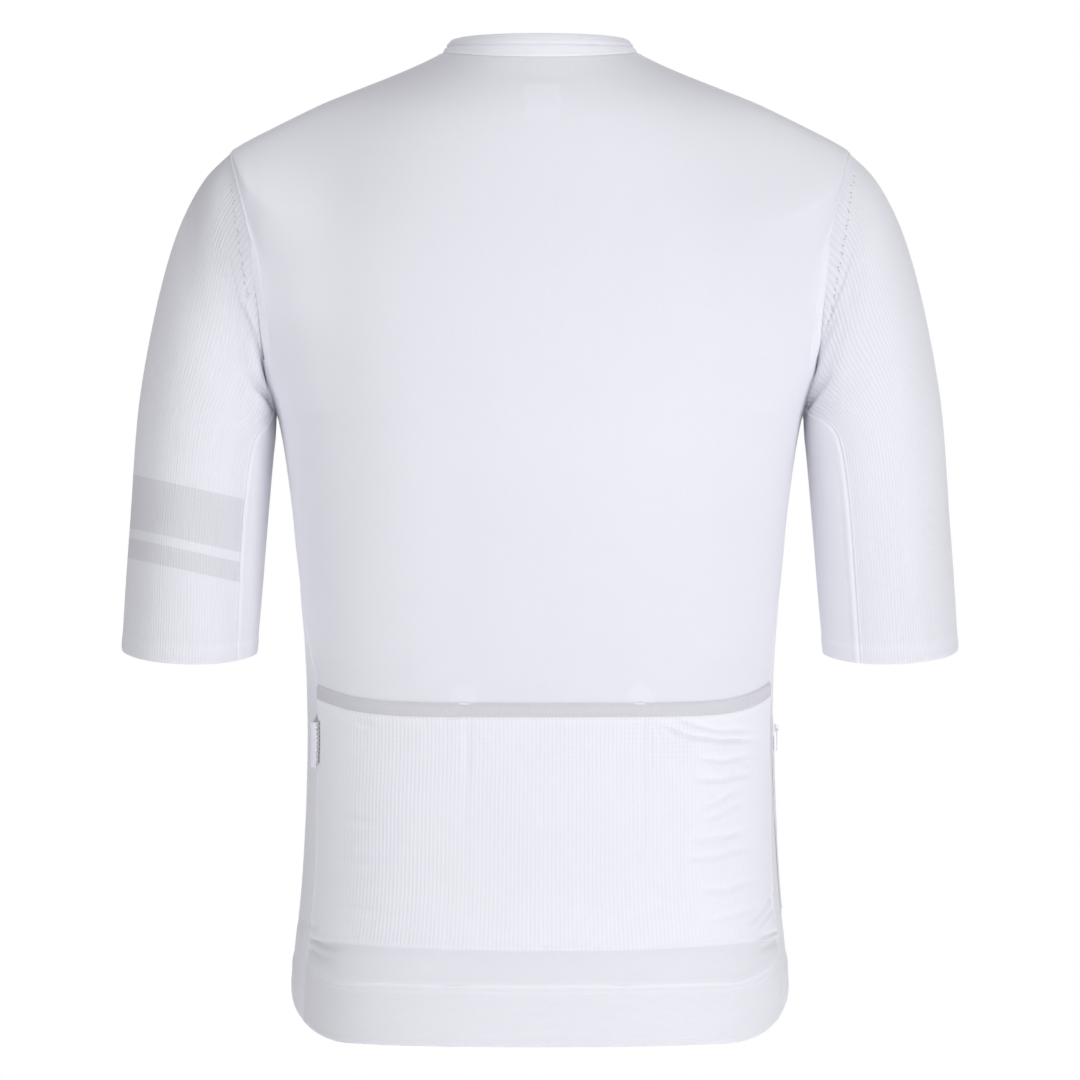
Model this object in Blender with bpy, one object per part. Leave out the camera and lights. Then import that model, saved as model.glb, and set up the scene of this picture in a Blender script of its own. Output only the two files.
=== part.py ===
"""A short-sleeved cycling jersey, worn form and hollow, with three back pockets.

Metres, +Z up. The wearer faces -Y, so the back is the +Y side, and the
wearer's left is +X. The origin is the centre of the neck opening, level with
the points where the collar seam crosses the shoulders.
Every panel is a thin wall: a grid of points on the garment's form, the same
points moved in along the form's normal, and a rim. Neighbours share their
seam's points, and each stays half of SEAM_GAP back from it.
"""

import math

import bpy
import numpy as np
from mathutils import Vector

for leftover in list(bpy.data.objects):
    bpy.data.objects.remove(leftover, do_unlink=True)

MM = 0.001

# ---------------------------------------------------------------- sizes (mm)
CLOTH = 1.2            # wall of a single panel
SEAM_GAP = 0.3         # between two pieces that are sewn together
LAYER_GAP = 0.3        # between a panel and what lies on it
COLLAR_WALL = 1.6      # folded double
HEM_WALL = 1.8         # doubled elastic
POCKET_WALL = 1.0
HEM_BACK, HEM_FRONT = -651.0, -588.0      # heights of the hem's edge
HEM_TURN = (-40.0, 45.0)                  # degrees between which it drops
HEM_BAND = 39.5                           # height of the hem band
FLAT_LEVEL = -360.0     # from here up the rows are level
UNDERARM, SHOULDER_TIP = -240.0, -66.0    # ends of the armhole
ARMHOLE_BACK, ARMHOLE_FRONT = 50.0, 54.0  # half depths of the armhole
ARMHOLE_EGG = 0.15                        # wider low down
SIDE_Y = -2.0                             # shoulder point and underarm point
POCKET_BAND = 9.2
POCKET_FOOT_SIDE, POCKET_FOOT_MID = -585.0, -589.5
ZIP_OPENING = 4.0      # half the gap between the fronts
DROOP_POWER = 1.3
SHOULDER_ARCH = (5.0, 3.0)   # behind and in front

# The body's rings. "level" is the height at the side, "drop" how much lower
# the ring runs at the centre back and the centre front.
BODY_RINGS = {
    "level": [-662, -622, -588, -563, -530, -495, -455, -420, -392, -358, -322, -284, -244, -232, -211, -171, -136, -103, -80, -66.0, -61.8, -55.9, -50.5, -41.2, -33.3, -26.6, -20.0, -13.3, -6.0, 0.0],
    "half_width": [165.4, 164.9, 162.2, 159.2, 156.8, 155.2, 154.4, 155.0, 156.4, 159.4, 162.5, 167.0, 173.8, 177.8, 186.6, 196.8, 200.5, 202.0, 204.0, 204.9, 199.5, 188.9, 178.2, 159.6, 143.0, 126.4, 109.7, 93.0, 76.5, 64.5],
    # away from the side, over the shoulder blades and the chest, the shoulders round over sooner
    "inner_width": [165.4, 164.9, 162.2, 159.2, 156.8, 155.2, 154.4, 155.0, 156.4, 159.4, 162.5, 167.0, 173.0, 175.2, 179.5, 187.0, 191.5, 192.0, 189.0, 184.6, 181.8, 176.4, 170.0, 155.5, 141.3, 126.2, 109.7, 93.0, 76.5, 64.5],
    "back": [111, 109, 106, 103, 97.5, 92, 88.5, 88, 89.5, 93.5, 98.5, 104, 109.2, 110.2, 111.2, 111.3, 110.0, 107.8, 105.3, 102.8, 101.6, 99.8, 97.7, 93.8, 90.1, 86.4, 82.0, 76.0, 68.5, 61.5],
    "front": [103, 103, 103, 102.5, 101.5, 100.5, 100, 100.5, 102.5, 107, 113, 119, 123.5, 124, 122.8, 119, 115.5, 112, 109.5, 107, 105.5, 103.3, 101, 96.8, 92.8, 88.8, 84.6, 79.5, 73.2, 66.0],
    "drop_back": [0, 0, 0, 0, 0, 0, 0, 0, 0, 0, 0, 0, 0, 1, 6, 17.5, 30, 43, 52, 55, 54.3, 52.3, 49.8, 44.5, 39.5, 34.5, 29, 22.5, 15, 8.0],
    "drop_front": [0, 0, 0, 0, 0, 0, 0, 0, 0, 0, 0, 0, 0, 1, 6, 20.5, 38, 57, 70, 76, 76, 75.5, 75, 73.5, 71.5, 69.5, 67, 64, 60, 55.0],
}
BODY_SQUARE = {
    "level": [-662, -560, -455, -330, -244, -171, -103, -66, -33, 0],
    "power": [2.35, 2.32, 2.30, 2.32, 2.34, 2.30, 2.22, 2.15, 2.08, 2.0],
}
# Where the side seams run: how far behind the body's widest line.
SIDE_SEAM = {
    "level": [-662, -600, -560, -480, -420, -400, -370, -340, -300, -240],
    "left_y": [48, 46.5, 45.5, 37, 36, 29.5, 21, 12, -1, SIDE_Y],
    "right_y": [38, 35.5, 35, 26, 24.5, 21.5, 16.5, 8, -1, SIDE_Y],
}
# The shoulder seam runs a little forward of the ridge.
SHOULDER_SEAM = {"level": [-66, -50, -30, 0], "y": [SIDE_Y, -6, -10, -12]}

# The sleeve's rings after the armhole: the outermost and innermost point
# (x, z), the half depths, the centre's y, and where the ring lies along it.
SLEEVE_RINGS = {
    "along": [0.0, 0.085, 0.20, 0.34, 0.50, 0.68, 0.83, 1.0],
    "top_x": [None, 222.0, 241.0, 256.5, 267.4, 272.2, 275.6, 278.8],
    "top_z": [None, -83.5, -120.0, -177.0, -242.0, -305.0, -350.0, -399.0],
    "low_x": [None, 175.3, 175.5, 175.9, 177.1, 181.4, 185.0, 189.2],
    "low_z": [None, -243.5, -248.5, -255.5, -266.0, -313.0, -356.0, -402.0],
    "back": [None, 55.0, 59.5, 60.5, 58.5, 55.5, 54.0, 53.0],
    "front": [None, 57.0, 58.5, 58.0, 57.0, 55.5, 54.0, 53.0],
    "mid_y": [None, -1.0, -1.0, -1.5, -3.0, -7.0, -9.5, -12.5],
}
SLEEVE_SQUARE = 2.12
# Under-sleeve panel: degrees round the ring, from the top, to its two seams.
UNDER_SEAM = {
    "along": [0.0, 0.20, 0.34, 0.50, 0.68, 1.0],
    "left_back": [162, 156, 147, 136, 132, 137],
    "left_front": [162, 157, 148, 136, 128, 126],
    "right_back": [162, 150, 136, 123, 119, 120],
    "right_front": [162, 158, 152, 144, 140, 140],
}
# The largest folds: soft troughs across the sleeve's back where it turns in
# to the armhole, and milder ones in front.
SLEEVE_FOLDS = (
    # side, from (degrees, along), to (degrees, along), depth, half width
    {"side": "left", "a0": 118, "w0": 0.19, "a1": 160, "w1": 0.03, "deep": 3.0, "wide": 7.0},
    {"side": "right", "a0": 120, "w0": 0.20, "a1": 160, "w1": 0.03, "deep": 3.2, "wide": 7.0},
    {"side": "left", "a0": -112, "w0": 0.17, "a1": -158, "w1": 0.03, "deep": 2.6, "wide": 7.0},
    {"side": "right", "a0": -115, "w0": 0.19, "a1": -158, "w1": 0.03, "deep": 2.4, "wide": 7.0},
)

# Collar rings, from the neck seam to the top edge.
COLLAR_RINGS = {
    "up": [0.0, 0.5, 1.0],
    "half_width": [64.5, 62.3, 58.6],
    "back": [61.5, 60.0, 57.0],
    "front": [66.0, 64.4, 61.5],
    "side_z": [0.0, 3.6, 8.4],
    "back_z": [-8.0, 0.8, 8.2],
    "front_z": [-55.0, -48.2, -41.0],
}

ARMHOLE_STEPS = (180, 171, 162, 144, 126, 108, 90, 72, 54, 36, 18, 0)
BACK_COLUMNS, FRONT_COLUMNS = 18, 9


# ------------------------------------------------------------ interpolation
class Smooth:
    """A smooth curve through a table's columns that never overshoots them."""

    def __init__(self, xs, ys):
        self.x = np.asarray(xs, float)
        self.y = np.asarray(ys, float)
        h = np.diff(self.x)
        shape = (-1,) + (1,) * (self.y.ndim - 1)
        d = np.diff(self.y, axis=0) / h.reshape(shape)
        m = np.zeros_like(self.y)
        m[0], m[-1] = d[0], d[-1]
        for k in range(1, len(self.x) - 1):
            w1, w2 = 2 * h[k] + h[k - 1], h[k] + 2 * h[k - 1]
            a, b = d[k - 1], d[k]
            same = a * b > 0
            safe_a, safe_b = np.where(same, a, 1.0), np.where(same, b, 1.0)
            m[k] = np.where(same, (w1 + w2) / (w1 / safe_a + w2 / safe_b), 0.0)
        self.m = m

    def __call__(self, at):
        at = np.clip(np.asarray(at, float), self.x[0], self.x[-1])
        k = np.clip(np.searchsorted(self.x, at, side="right") - 1, 0, len(self.x) - 2)
        h = self.x[k + 1] - self.x[k]
        t = (at - self.x[k]) / h
        return (
            (1 + 2 * t) * (1 - t) ** 2 * self.y[k]
            + t * (1 - t) ** 2 * h * self.m[k]
            + t * t * (3 - 2 * t) * self.y[k + 1]
            + t * t * (t - 1) * h * self.m[k + 1]
        )


def blend_rows(xs, rows, at):
    """Each point's smooth path through a stack of rings, xs along the stack."""
    rows = np.asarray(rows, float)
    h = np.diff(xs).reshape((-1,) + (1,) * (rows.ndim - 1))
    d = np.diff(rows, axis=0) / h
    m = np.zeros_like(rows)
    m[0], m[-1] = d[0], d[-1]
    for k in range(1, len(xs) - 1):
        w1, w2 = 2 * h[k] + h[k - 1], h[k] + 2 * h[k - 1]
        same = d[k - 1] * d[k] > 0
        a, b = np.where(same, d[k - 1], 1.0), np.where(same, d[k], 1.0)
        m[k] = np.where(same, (w1 + w2) / (w1 / a + w2 / b), 0.0)
    at = np.asarray(at, float)
    k = np.clip(np.searchsorted(xs, at, side="right") - 1, 0, len(xs) - 2)
    xs = np.asarray(xs, float)
    step = (xs[k + 1] - xs[k])[..., None]
    t = ((at - xs[k]) / (xs[k + 1] - xs[k]))[..., None]

    def pick(stack, index):
        return np.take_along_axis(stack, index[None, ..., None], axis=0)[0]

    return (
        (1 + 2 * t) * (1 - t) ** 2 * pick(rows, k)
        + t * (1 - t) ** 2 * step * pick(m, k)
        + t * t * (3 - 2 * t) * pick(rows, k + 1)
        + t * t * (t - 1) * step * pick(m, k + 1)
    )


def signed_power(value, power):
    return np.sign(value) * np.abs(value) ** power


def smoothstep(t):
    t = np.clip(t, 0.0, 1.0)
    return t * t * (3 - 2 * t)


# ----------------------------------------------------------------- the body
ring = {key: Smooth(BODY_RINGS["level"], BODY_RINGS[key]) for key in BODY_RINGS if key != "level"}
square = Smooth(BODY_SQUARE["level"], BODY_SQUARE["power"])
seam_y = {
    "left": Smooth(SIDE_SEAM["level"][::1], SIDE_SEAM["left_y"]),
    "right": Smooth(SIDE_SEAM["level"][::1], SIDE_SEAM["right_y"]),
}
shoulder_y = Smooth(SHOULDER_SEAM["level"], SHOULDER_SEAM["y"])


def body(theta, level):
    """A point of the body's form. theta is 0 at the wearer's left side, 90 degrees at the centre back."""
    theta, level = np.broadcast_arrays(np.asarray(theta, float), np.asarray(level, float))
    c, s = np.cos(theta), np.sin(theta)
    power = 2.0 / square(level)
    behind = s >= 0
    depth = np.where(behind, ring["back"](level), ring["front"](level))
    drop = np.where(behind, ring["drop_back"](level), ring["drop_front"](level))
    away = smoothstep((np.abs(s) - 0.3) / 0.5)
    half = (1 - away) * ring["half_width"](level) + away * ring["inner_width"](level)
    x = half * signed_power(c, power)
    y = depth * signed_power(s, power)
    # On the shoulders the rings fall away fast, like the arch over an armhole.
    arch = smoothstep((-16.0 - level) / 36.0)
    z = level - drop * ((1 - arch) * np.abs(s) ** DROOP_POWER + arch * (1 - (1 - s * s) ** np.where(behind, *SHOULDER_ARCH)))
    return np.stack([x, y, z], axis=-1)


def unit(v):
    return v / np.maximum(np.linalg.norm(v, axis=-1, keepdims=True), 1e-12)


def body_normal(theta, level):
    theta, level = np.broadcast_arrays(np.asarray(theta, float), np.asarray(level, float))
    across = body(theta + 0.02, level) - body(theta - 0.02, level)
    low, high = np.maximum(level - 1.0, -662), np.minimum(level + 1.0, 0)
    up = body(theta, high) - body(theta, low)
    return unit(np.cross(across, up))


def angle_at(y, level):
    """The ring angle, from the side, at which a ring reaches y."""
    y, level = np.broadcast_arrays(np.asarray(y, float), np.asarray(level, float))
    depth = np.where(y >= 0, ring["back"](level), ring["front"](level))
    share = np.clip(np.abs(y) / depth, 0, 1) ** (square(level) / 2)
    return np.sign(y) * np.arcsin(share)


def hem_level(theta):
    lean = np.degrees(np.arcsin(np.clip(np.sin(theta), -1, 1)))
    share = smoothstep((lean - HEM_TURN[0]) / (HEM_TURN[1] - HEM_TURN[0]))
    return HEM_FRONT + (HEM_BACK - HEM_FRONT) * share


def armhole(phi):
    """(angle from the side, level) of the armhole seam. phi is 0 at the shoulder point and 180 degrees at the underarm, positive behind."""
    phi = np.asarray(phi, float)
    c, s = np.cos(phi), np.sin(phi)
    mid, half = (SHOULDER_TIP + UNDERARM) / 2, (SHOULDER_TIP - UNDERARM) / 2
    depth = np.where(s >= 0, ARMHOLE_BACK, ARMHOLE_FRONT)
    want_z = mid + half * c
    want_y = SIDE_Y + depth * s * (1 - ARMHOLE_EGG * c)
    low = np.full(phi.shape, UNDERARM - 6.0)
    high = np.full(phi.shape, -1.0)
    for _ in range(48):
        level = (low + high) / 2
        angle = angle_at(want_y, level)
        over = body(angle, level)[..., 2] > want_z
        high, low = np.where(over, level, high), np.where(over, low, level)
    level = (low + high) / 2
    return angle_at(want_y, level), level


def side_angle(level, side):
    """The side seam's angle below the armhole, the shoulder seam's above it."""
    level = np.asarray(level, float)
    y = np.where(level > (UNDERARM + SHOULDER_TIP) / 2, shoulder_y(level), seam_y[side](level))
    return angle_at(y, level)


# -------------------------------------------------------------- the sleeves
def sleeve_stack(phi):
    """Every sleeve ring's point at phi, left sleeve, armhole first."""
    phi = np.asarray(phi, float)
    angle, level = armhole(np.arctan2(np.sin(phi), np.cos(phi)))
    stack = [body(angle, level)]
    c = signed_power(np.cos(phi), 2 / SLEEVE_SQUARE)
    s = signed_power(np.sin(phi), 2 / SLEEVE_SQUARE)
    t = SLEEVE_RINGS
    for k in range(1, len(t["along"])):
        mid_x, half_x = (t["top_x"][k] + t["low_x"][k]) / 2, (t["top_x"][k] - t["low_x"][k]) / 2
        mid_z, half_z = (t["top_z"][k] + t["low_z"][k]) / 2, (t["top_z"][k] - t["low_z"][k]) / 2
        depth = np.where(s >= 0, t["back"][k], t["front"][k])
        stack.append(np.stack([mid_x + half_x * c, t["mid_y"][k] + depth * s, mid_z + half_z * c], axis=-1))
    return np.stack(stack)


def sleeve_plain(phi, along):
    phi, along = np.broadcast_arrays(np.asarray(phi, float), np.asarray(along, float))
    return blend_rows(SLEEVE_RINGS["along"], sleeve_stack(phi), along)


def sleeve_normal(phi, along):
    phi, along = np.broadcast_arrays(np.asarray(phi, float), np.asarray(along, float))
    round_it = sleeve_plain(phi + 0.03, along) - sleeve_plain(phi - 0.03, along)
    low, high = np.maximum(along - 0.012, 0), np.minimum(along + 0.012, 1)
    down = sleeve_plain(phi, high) - sleeve_plain(phi, low)
    return unit(np.cross(round_it, down)) * -1.0


def sleeve(phi, along, side):
    """The left sleeve's form with that side's folds pressed in; the right one is mirrored afterwards."""
    phi, along = np.broadcast_arrays(np.asarray(phi, float), np.asarray(along, float))
    point = sleeve_plain(phi, along)
    press = np.zeros(phi.shape)
    bend = np.degrees(np.arctan2(np.sin(phi), np.cos(phi)))
    for fold in SLEEVE_FOLDS:
        if fold["side"] != side:
            continue
        # distances in mm: about 0.95 mm a degree round, 330 mm along
        ax, ay = fold["a0"] * 0.95, fold["w0"] * 330
        bx, by = fold["a1"] * 0.95, fold["w1"] * 330
        px, py = bend * 0.95, along * 330
        t = np.clip(((px - ax) * (bx - ax) + (py - ay) * (by - ay)) / ((bx - ax) ** 2 + (by - ay) ** 2), 0, 1)
        off = np.hypot(px - ax - t * (bx - ax), py - ay - t * (by - ay))
        ends = smoothstep(t * 3.5 + 0.2) * smoothstep((1 - t) * 4 + 0.1)
        press = press + fold["deep"] * ends * np.exp(-((off / fold["wide"]) ** 2))
    fade = smoothstep(along / 0.03)
    return point - sleeve_normal(phi, along) * (press * fade)[..., None]


# --------------------------------------------------------------- the collar
def collar(theta, up):
    theta, up = np.broadcast_arrays(np.asarray(theta, float), np.asarray(up, float))
    c, s = np.cos(theta), np.sin(theta)
    get = {key: Smooth(COLLAR_RINGS["up"], COLLAR_RINGS[key])(up) for key in COLLAR_RINGS if key != "up"}
    behind = s >= 0
    depth = np.where(behind, get["back"], get["front"])
    end_z = np.where(behind, get["back_z"], get["front_z"])
    z = get["side_z"] + (end_z - get["side_z"]) * np.abs(s) ** DROOP_POWER
    return np.stack([get["half_width"] * c, depth * s, z], axis=-1)


def collar_normal(theta, up):
    theta, up = np.broadcast_arrays(np.asarray(theta, float), np.asarray(up, float))
    across = collar(theta + 0.02, up) - collar(theta - 0.02, up)
    rise = collar(theta, np.minimum(up + 0.1, 1)) - collar(theta, np.maximum(up - 0.1, 0))
    return unit(np.cross(across, rise))


# ------------------------------------------------------------------- meshes
def material(name, color, roughness, metallic=0.0):
    made = bpy.data.materials.get(name)
    if made:
        return made
    made = bpy.data.materials.new(name)
    made.use_nodes = True
    shader = made.node_tree.nodes["Principled BSDF"]
    shader.inputs["Base Color"].default_value = (*color, 1.0)
    shader.inputs["Roughness"].default_value = roughness
    shader.inputs["Metallic"].default_value = metallic
    return made


FINISH = {
    "knit": ((0.86, 0.86, 0.89), 0.85),
    "rib": ((0.84, 0.84, 0.87), 0.88),
    "binding": ((0.82, 0.82, 0.85), 0.8),
    "elastic": ((0.60, 0.60, 0.64), 0.75),
    "grip": ((0.84, 0.84, 0.87), 0.7),
    "ribbon": ((0.90, 0.90, 0.92), 0.6),
    "zip_tape": ((0.82, 0.82, 0.85), 0.7),
    "zip_plastic": ((0.86, 0.86, 0.88), 0.4),
}

jersey = bpy.data.objects.new("jersey", None)
bpy.context.scene.collection.objects.link(jersey)


def add_object(name, points_mm, faces, finish, origin_mm=(0, 0, 0)):
    origin = np.asarray(origin_mm, float)
    mesh = bpy.data.meshes.new(name)
    mesh.from_pydata([tuple(p) for p in (np.asarray(points_mm) - origin) * MM], [], faces)
    mesh.update()
    mesh.shade_smooth()
    mesh.set_sharp_from_angle(angle=math.radians(35))
    color, roughness = FINISH[finish]
    mesh.materials.append(material(finish, color, roughness))
    obj = bpy.data.objects.new(name, mesh)
    obj.location = Vector(origin * MM)
    obj.parent = jersey
    bpy.context.scene.collection.objects.link(obj)
    return obj


def border(rows, columns):
    """The grid's edge as one closed loop of (row, column)."""
    loop = [(0, j) for j in range(columns)]
    loop += [(i, columns - 1) for i in range(1, rows)]
    loop += [(rows - 1, j) for j in range(columns - 2, -1, -1)]
    loop += [(i, 0) for i in range(rows - 2, 0, -1)]
    return loop


def drawn_back(points, normals, gap):
    """The grid with its edge moved back into the sheet by gap."""
    rows, columns = points.shape[:2]
    loop = border(rows, columns)
    edge = np.array([points[i, j] for i, j in loop])
    up = np.array([normals[i, j] for i, j in loop])
    before = unit(edge - np.roll(edge, 1, axis=0))
    after = unit(np.roll(edge, -1, axis=0) - edge)
    first, second = unit(np.cross(up, before)), unit(np.cross(up, after))
    middle = points[rows // 2, columns // 2]
    inside = 0.0
    for k in range(len(loop)):
        i, j = loop[k]
        toward = points[min(max(i, 1), rows - 2), min(max(j, 1), columns - 2)] if rows > 2 and columns > 2 else middle
        inside += float(np.dot(first[k] + second[k], toward - edge[k]))
    if inside < 0:
        first, second = -first, -second
    move = unit(first + second)
    length = gap / np.maximum(np.sum(move * first, axis=-1), 0.35)
    out = points.copy()
    for k, (i, j) in enumerate(loop):
        out[i, j] = edge[k] + move[k] * length[k]
    return out


def wall(name, points, normals, thickness, finish, lift=0.0, gap=SEAM_GAP / 2):
    """A closed sheet: its outer face is the grid moved out by lift."""
    rows, columns = points.shape[:2]
    points = drawn_back(points, normals, gap)
    outer = points + normals * lift
    inner = points + normals * (lift - thickness)
    count = rows * columns
    at = lambda i, j: i * columns + j
    a, b, d = points[0, 0], points[0, 1], points[1, 0]
    flip = np.dot(np.cross(b - a, d - a), normals[0, 0]) < 0
    faces = []
    for i in range(rows - 1):
        for j in range(columns - 1):
            quad = (at(i, j), at(i, j + 1), at(i + 1, j + 1), at(i + 1, j))
            if flip:
                quad = quad[::-1]
            for tri in ((quad[0], quad[1], quad[2]), (quad[0], quad[2], quad[3])):
                faces.append(tri)
                faces.append(tuple(count + n for n in tri[::-1]))
    loop = [at(i, j) for i, j in border(rows, columns)]
    for k, here in enumerate(loop):
        there = loop[(k + 1) % len(loop)]
        quad = (here, count + here, count + there, there)
        faces.append(quad[::-1] if flip else quad)
    return add_object(name, np.concatenate([outer.reshape(-1, 3), inner.reshape(-1, 3)]), faces, finish)


def mirrored(points):
    return points * np.array([-1.0, 1.0, 1.0])


# ------------------------------------------------------------ the back, grid
def spaced(n):
    return np.linspace(0.0, 1.0, n + 1)


def pocket_foot(theta):
    return POCKET_FOOT_SIDE + (POCKET_FOOT_MID - POCKET_FOOT_SIDE) * np.abs(np.sin(theta)) ** 2


def pocket_mouth(theta):
    """The pocket mouths' edge: it hangs between the side seams, a little higher on the wearer's right."""
    across = np.cos(theta)
    return -429.6 + np.where(across >= 0, 15.5 * np.abs(across) ** 5.5, 15.0 * np.abs(across) ** 8)


def back_level(name, theta):
    if name == "band_top":
        return hem_level(theta) + HEM_BAND
    if name == "foot":
        return pocket_foot(theta)
    if name == "band_low":
        return pocket_mouth(theta) - POCKET_BAND
    if name == "mouth":
        return pocket_mouth(theta)
    return np.full(np.shape(theta), {"flat": FLAT_LEVEL, "underarm": UNDERARM}[name])


LOWER_ROWS = (
    # from, to, rows between
    ("band_top", "foot", 1),
    ("foot", "band_low", 5),
    ("band_low", "mouth", 1),
    ("mouth", "flat", 2),
    ("flat", "underarm", 3),
)

phi_rows = np.radians(ARMHOLE_STEPS)
back_hole = armhole(phi_rows)
front_hole = armhole(-phi_rows)
NECK_ROWS = 5


def back_grid():
    """(theta, level) of the back's points, row by row from the hem band up."""
    s = spaced(BACK_COLUMNS)
    thetas, levels, marks = [], [], {}

    def at_level(level_of):
        """A row whose level depends on theta, from seam to seam."""
        left = right = None
        guess_l, guess_r = 0.3, math.pi - 0.25
        for _ in range(8):
            left = float(side_angle(level_of(np.array(guess_l)), "left"))
            right = math.pi - float(side_angle(level_of(np.array(guess_r)), "right"))
            guess_l, guess_r = left, right
        theta = left + (right - left) * s
        return theta, level_of(theta)

    rows = []
    for k, (low, high, count) in enumerate(LOWER_ROWS):
        for n in range(count + (k == len(LOWER_ROWS) - 1)):
            t = n / count
            rows.append((low if n == 0 else None, lambda th, low=low, high=high, t=t: (1 - t) * back_level(low, th) + t * back_level(high, th)))
    for mark, level_of in rows[:-1]:
        if mark:
            marks[mark] = len(thetas)
        theta, level = at_level(level_of)
        thetas.append(theta)
        levels.append(level)
    marks["underarm"] = len(thetas)
    bulge = np.sin(np.pi * s) ** 0.5
    for k in range(len(phi_rows)):
        edge = back_hole[1][k]
        even = UNDERARM + (SHOULDER_TIP - UNDERARM) * k / (len(phi_rows) - 1)
        theta = back_hole[0][k] + (math.pi - 2 * back_hole[0][k]) * s
        thetas.append(theta)
        levels.append(edge + (even - edge) * bulge)
    for k in range(1, NECK_ROWS + 1):
        level = SHOULDER_TIP * (1 - k / NECK_ROWS)
        left = float(side_angle(level, "left"))
        thetas.append(left + (math.pi - 2 * left) * s)
        levels.append(np.full(s.shape, level))
    return np.array(thetas), np.array(levels), marks


back_theta, back_levels, mark = back_grid()
back_points, back_normals = body(back_theta, back_levels), body_normal(back_theta, back_levels)
wall("back_panel", back_points, back_normals, CLOTH, "knit")

# The pockets lie on the back and are made from its points, moved out.
foot, low, mouth = mark["foot"], mark["band_low"], mark["mouth"]
wall("pocket_panel", back_points[foot:low + 1], back_normals[foot:low + 1], POCKET_WALL, "rib", lift=LAYER_GAP + POCKET_WALL)
wall("pocket_band", back_points[low:mouth + 1], back_normals[low:mouth + 1], POCKET_WALL + 0.2, "elastic", lift=LAYER_GAP + POCKET_WALL + 0.2)

# The hem band goes on below the back, on the same form.
band_rows = []
band_levels = []
top_theta = back_theta[0]
for t in (0.0, 0.5, 1.0):
    row_theta = top_theta
    band_rows.append(row_theta)
    band_levels.append(hem_level(row_theta) + HEM_BAND * t)
band_theta, band_level = np.array(band_rows), np.array(band_levels)
wall("hem_band", body(band_theta, band_level), body_normal(band_theta, band_level), HEM_WALL, "grip", lift=0.3)


# ---------------------------------------------------------------- the fronts
def front_grid(side):
    """(theta, level) of one front, measured as on the wearer's left, from the centre front out to the side."""
    s = spaced(FRONT_COLUMNS)
    thetas, levels = [], []

    def centre(level):
        return -np.arccos((ZIP_OPENING / ring["inner_width"](level)) ** (square(level) / 2))

    def add(outer, level_of):
        inner = -math.pi / 2 + 0.03
        for _ in range(6):
            inner = float(centre(level_of(np.array(inner))))
        theta = inner + (outer - inner) * s
        thetas.append(theta)
        levels.append(level_of(theta))

    # Below the armhole the rows start from the back's own seam points.
    column = 0 if side == "left" else -1
    seam = [(band_theta[r][column], band_level[r][column]) for r in (0, 1)]
    seam += [(back_theta[r][column], back_levels[r][column]) for r in range(mark["underarm"])]
    for outer, seam_level in seam:
        outer = outer if side == "left" else math.pi - outer
        foot_level = float(hem_level(np.array(outer)))
        t = min((seam_level - foot_level) / (FLAT_LEVEL - foot_level), 1.0)
        if t < 1.0:
            add(float(outer), lambda th, t=t: (1 - t) * hem_level(th) + t * FLAT_LEVEL)
        else:
            add(float(outer), lambda th, level=seam_level: level + 0 * th)
    for k in range(len(phi_rows)):
        edge = front_hole[1][k]
        even = UNDERARM + (SHOULDER_TIP - UNDERARM) * k / (len(phi_rows) - 1)
        share = 1 - s ** 2
        outer = float(front_hole[0][k])
        inner = float(centre(np.array(even)))
        thetas.append(inner + (outer - inner) * s)
        levels.append(edge + (even - edge) * share)
    for k in range(1, NECK_ROWS + 1):
        level = SHOULDER_TIP * (1 - k / NECK_ROWS)
        add(float(side_angle(level, side)), lambda th, level=level: level + 0 * th)
    return np.array(thetas), np.array(levels)


front_rows = {}
for side in ("left", "right"):
    theta, level = front_grid(side)
    front_rows[side] = (theta, level)
    points, normals = body(theta, level), body_normal(theta, level)
    if side == "right":
        points, normals = mirrored(points), mirrored(normals)
    wall("front_" + side, points, normals, CLOTH, "knit")

# --------------------------------------------------------------- the sleeves
SLEEVE_ROWS = (0.0, 0.05, 0.11, 0.20, 0.31, 0.42, 0.54, 0.68, 0.84, 1.0)
for side in ("left", "right"):
    back_edge = np.radians(Smooth(UNDER_SEAM["along"], UNDER_SEAM[side + "_back"])(np.array(SLEEVE_ROWS)))
    front_edge = np.radians(Smooth(UNDER_SEAM["along"], UNDER_SEAM[side + "_front"])(np.array(SLEEVE_ROWS)))
    along = np.array(SLEEVE_ROWS)[:, None]
    for name, start, end, columns, finish in (
        ("sleeve_", -front_edge, back_edge, 18, "rib"),
        ("undersleeve_", back_edge, 2 * math.pi - front_edge, 4, "knit"),
    ):
        phi = start[:, None] + (end - start)[:, None] * spaced(columns)[None, :]
        points = sleeve(phi, along + 0 * phi, side)
        normals = sleeve_normal(phi, along + 0 * phi)
        if side == "right":
            points, normals = mirrored(points), mirrored(normals)
        wall(name + side, points, normals, CLOTH, finish)

# ---------------------------------------------------------------- the collar
neck_front = front_rows["left"][0][-1]          # centre front to side
neck_back = back_theta[-1]                      # left to right
collar_theta = np.concatenate([neck_front, neck_back[1:-1], math.pi - neck_front[::-1]])
for name, low_up, high_up, finish in (("collar_stand", 0.0, 0.5, "knit"), ("collar_edge", 0.5, 1.0, "binding")):
    ups = np.array([low_up, (low_up + high_up) / 2, high_up])[:, None]
    wall(name, collar(collar_theta[None, :], ups), collar_normal(collar_theta[None, :], ups), COLLAR_WALL, finish)


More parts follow.
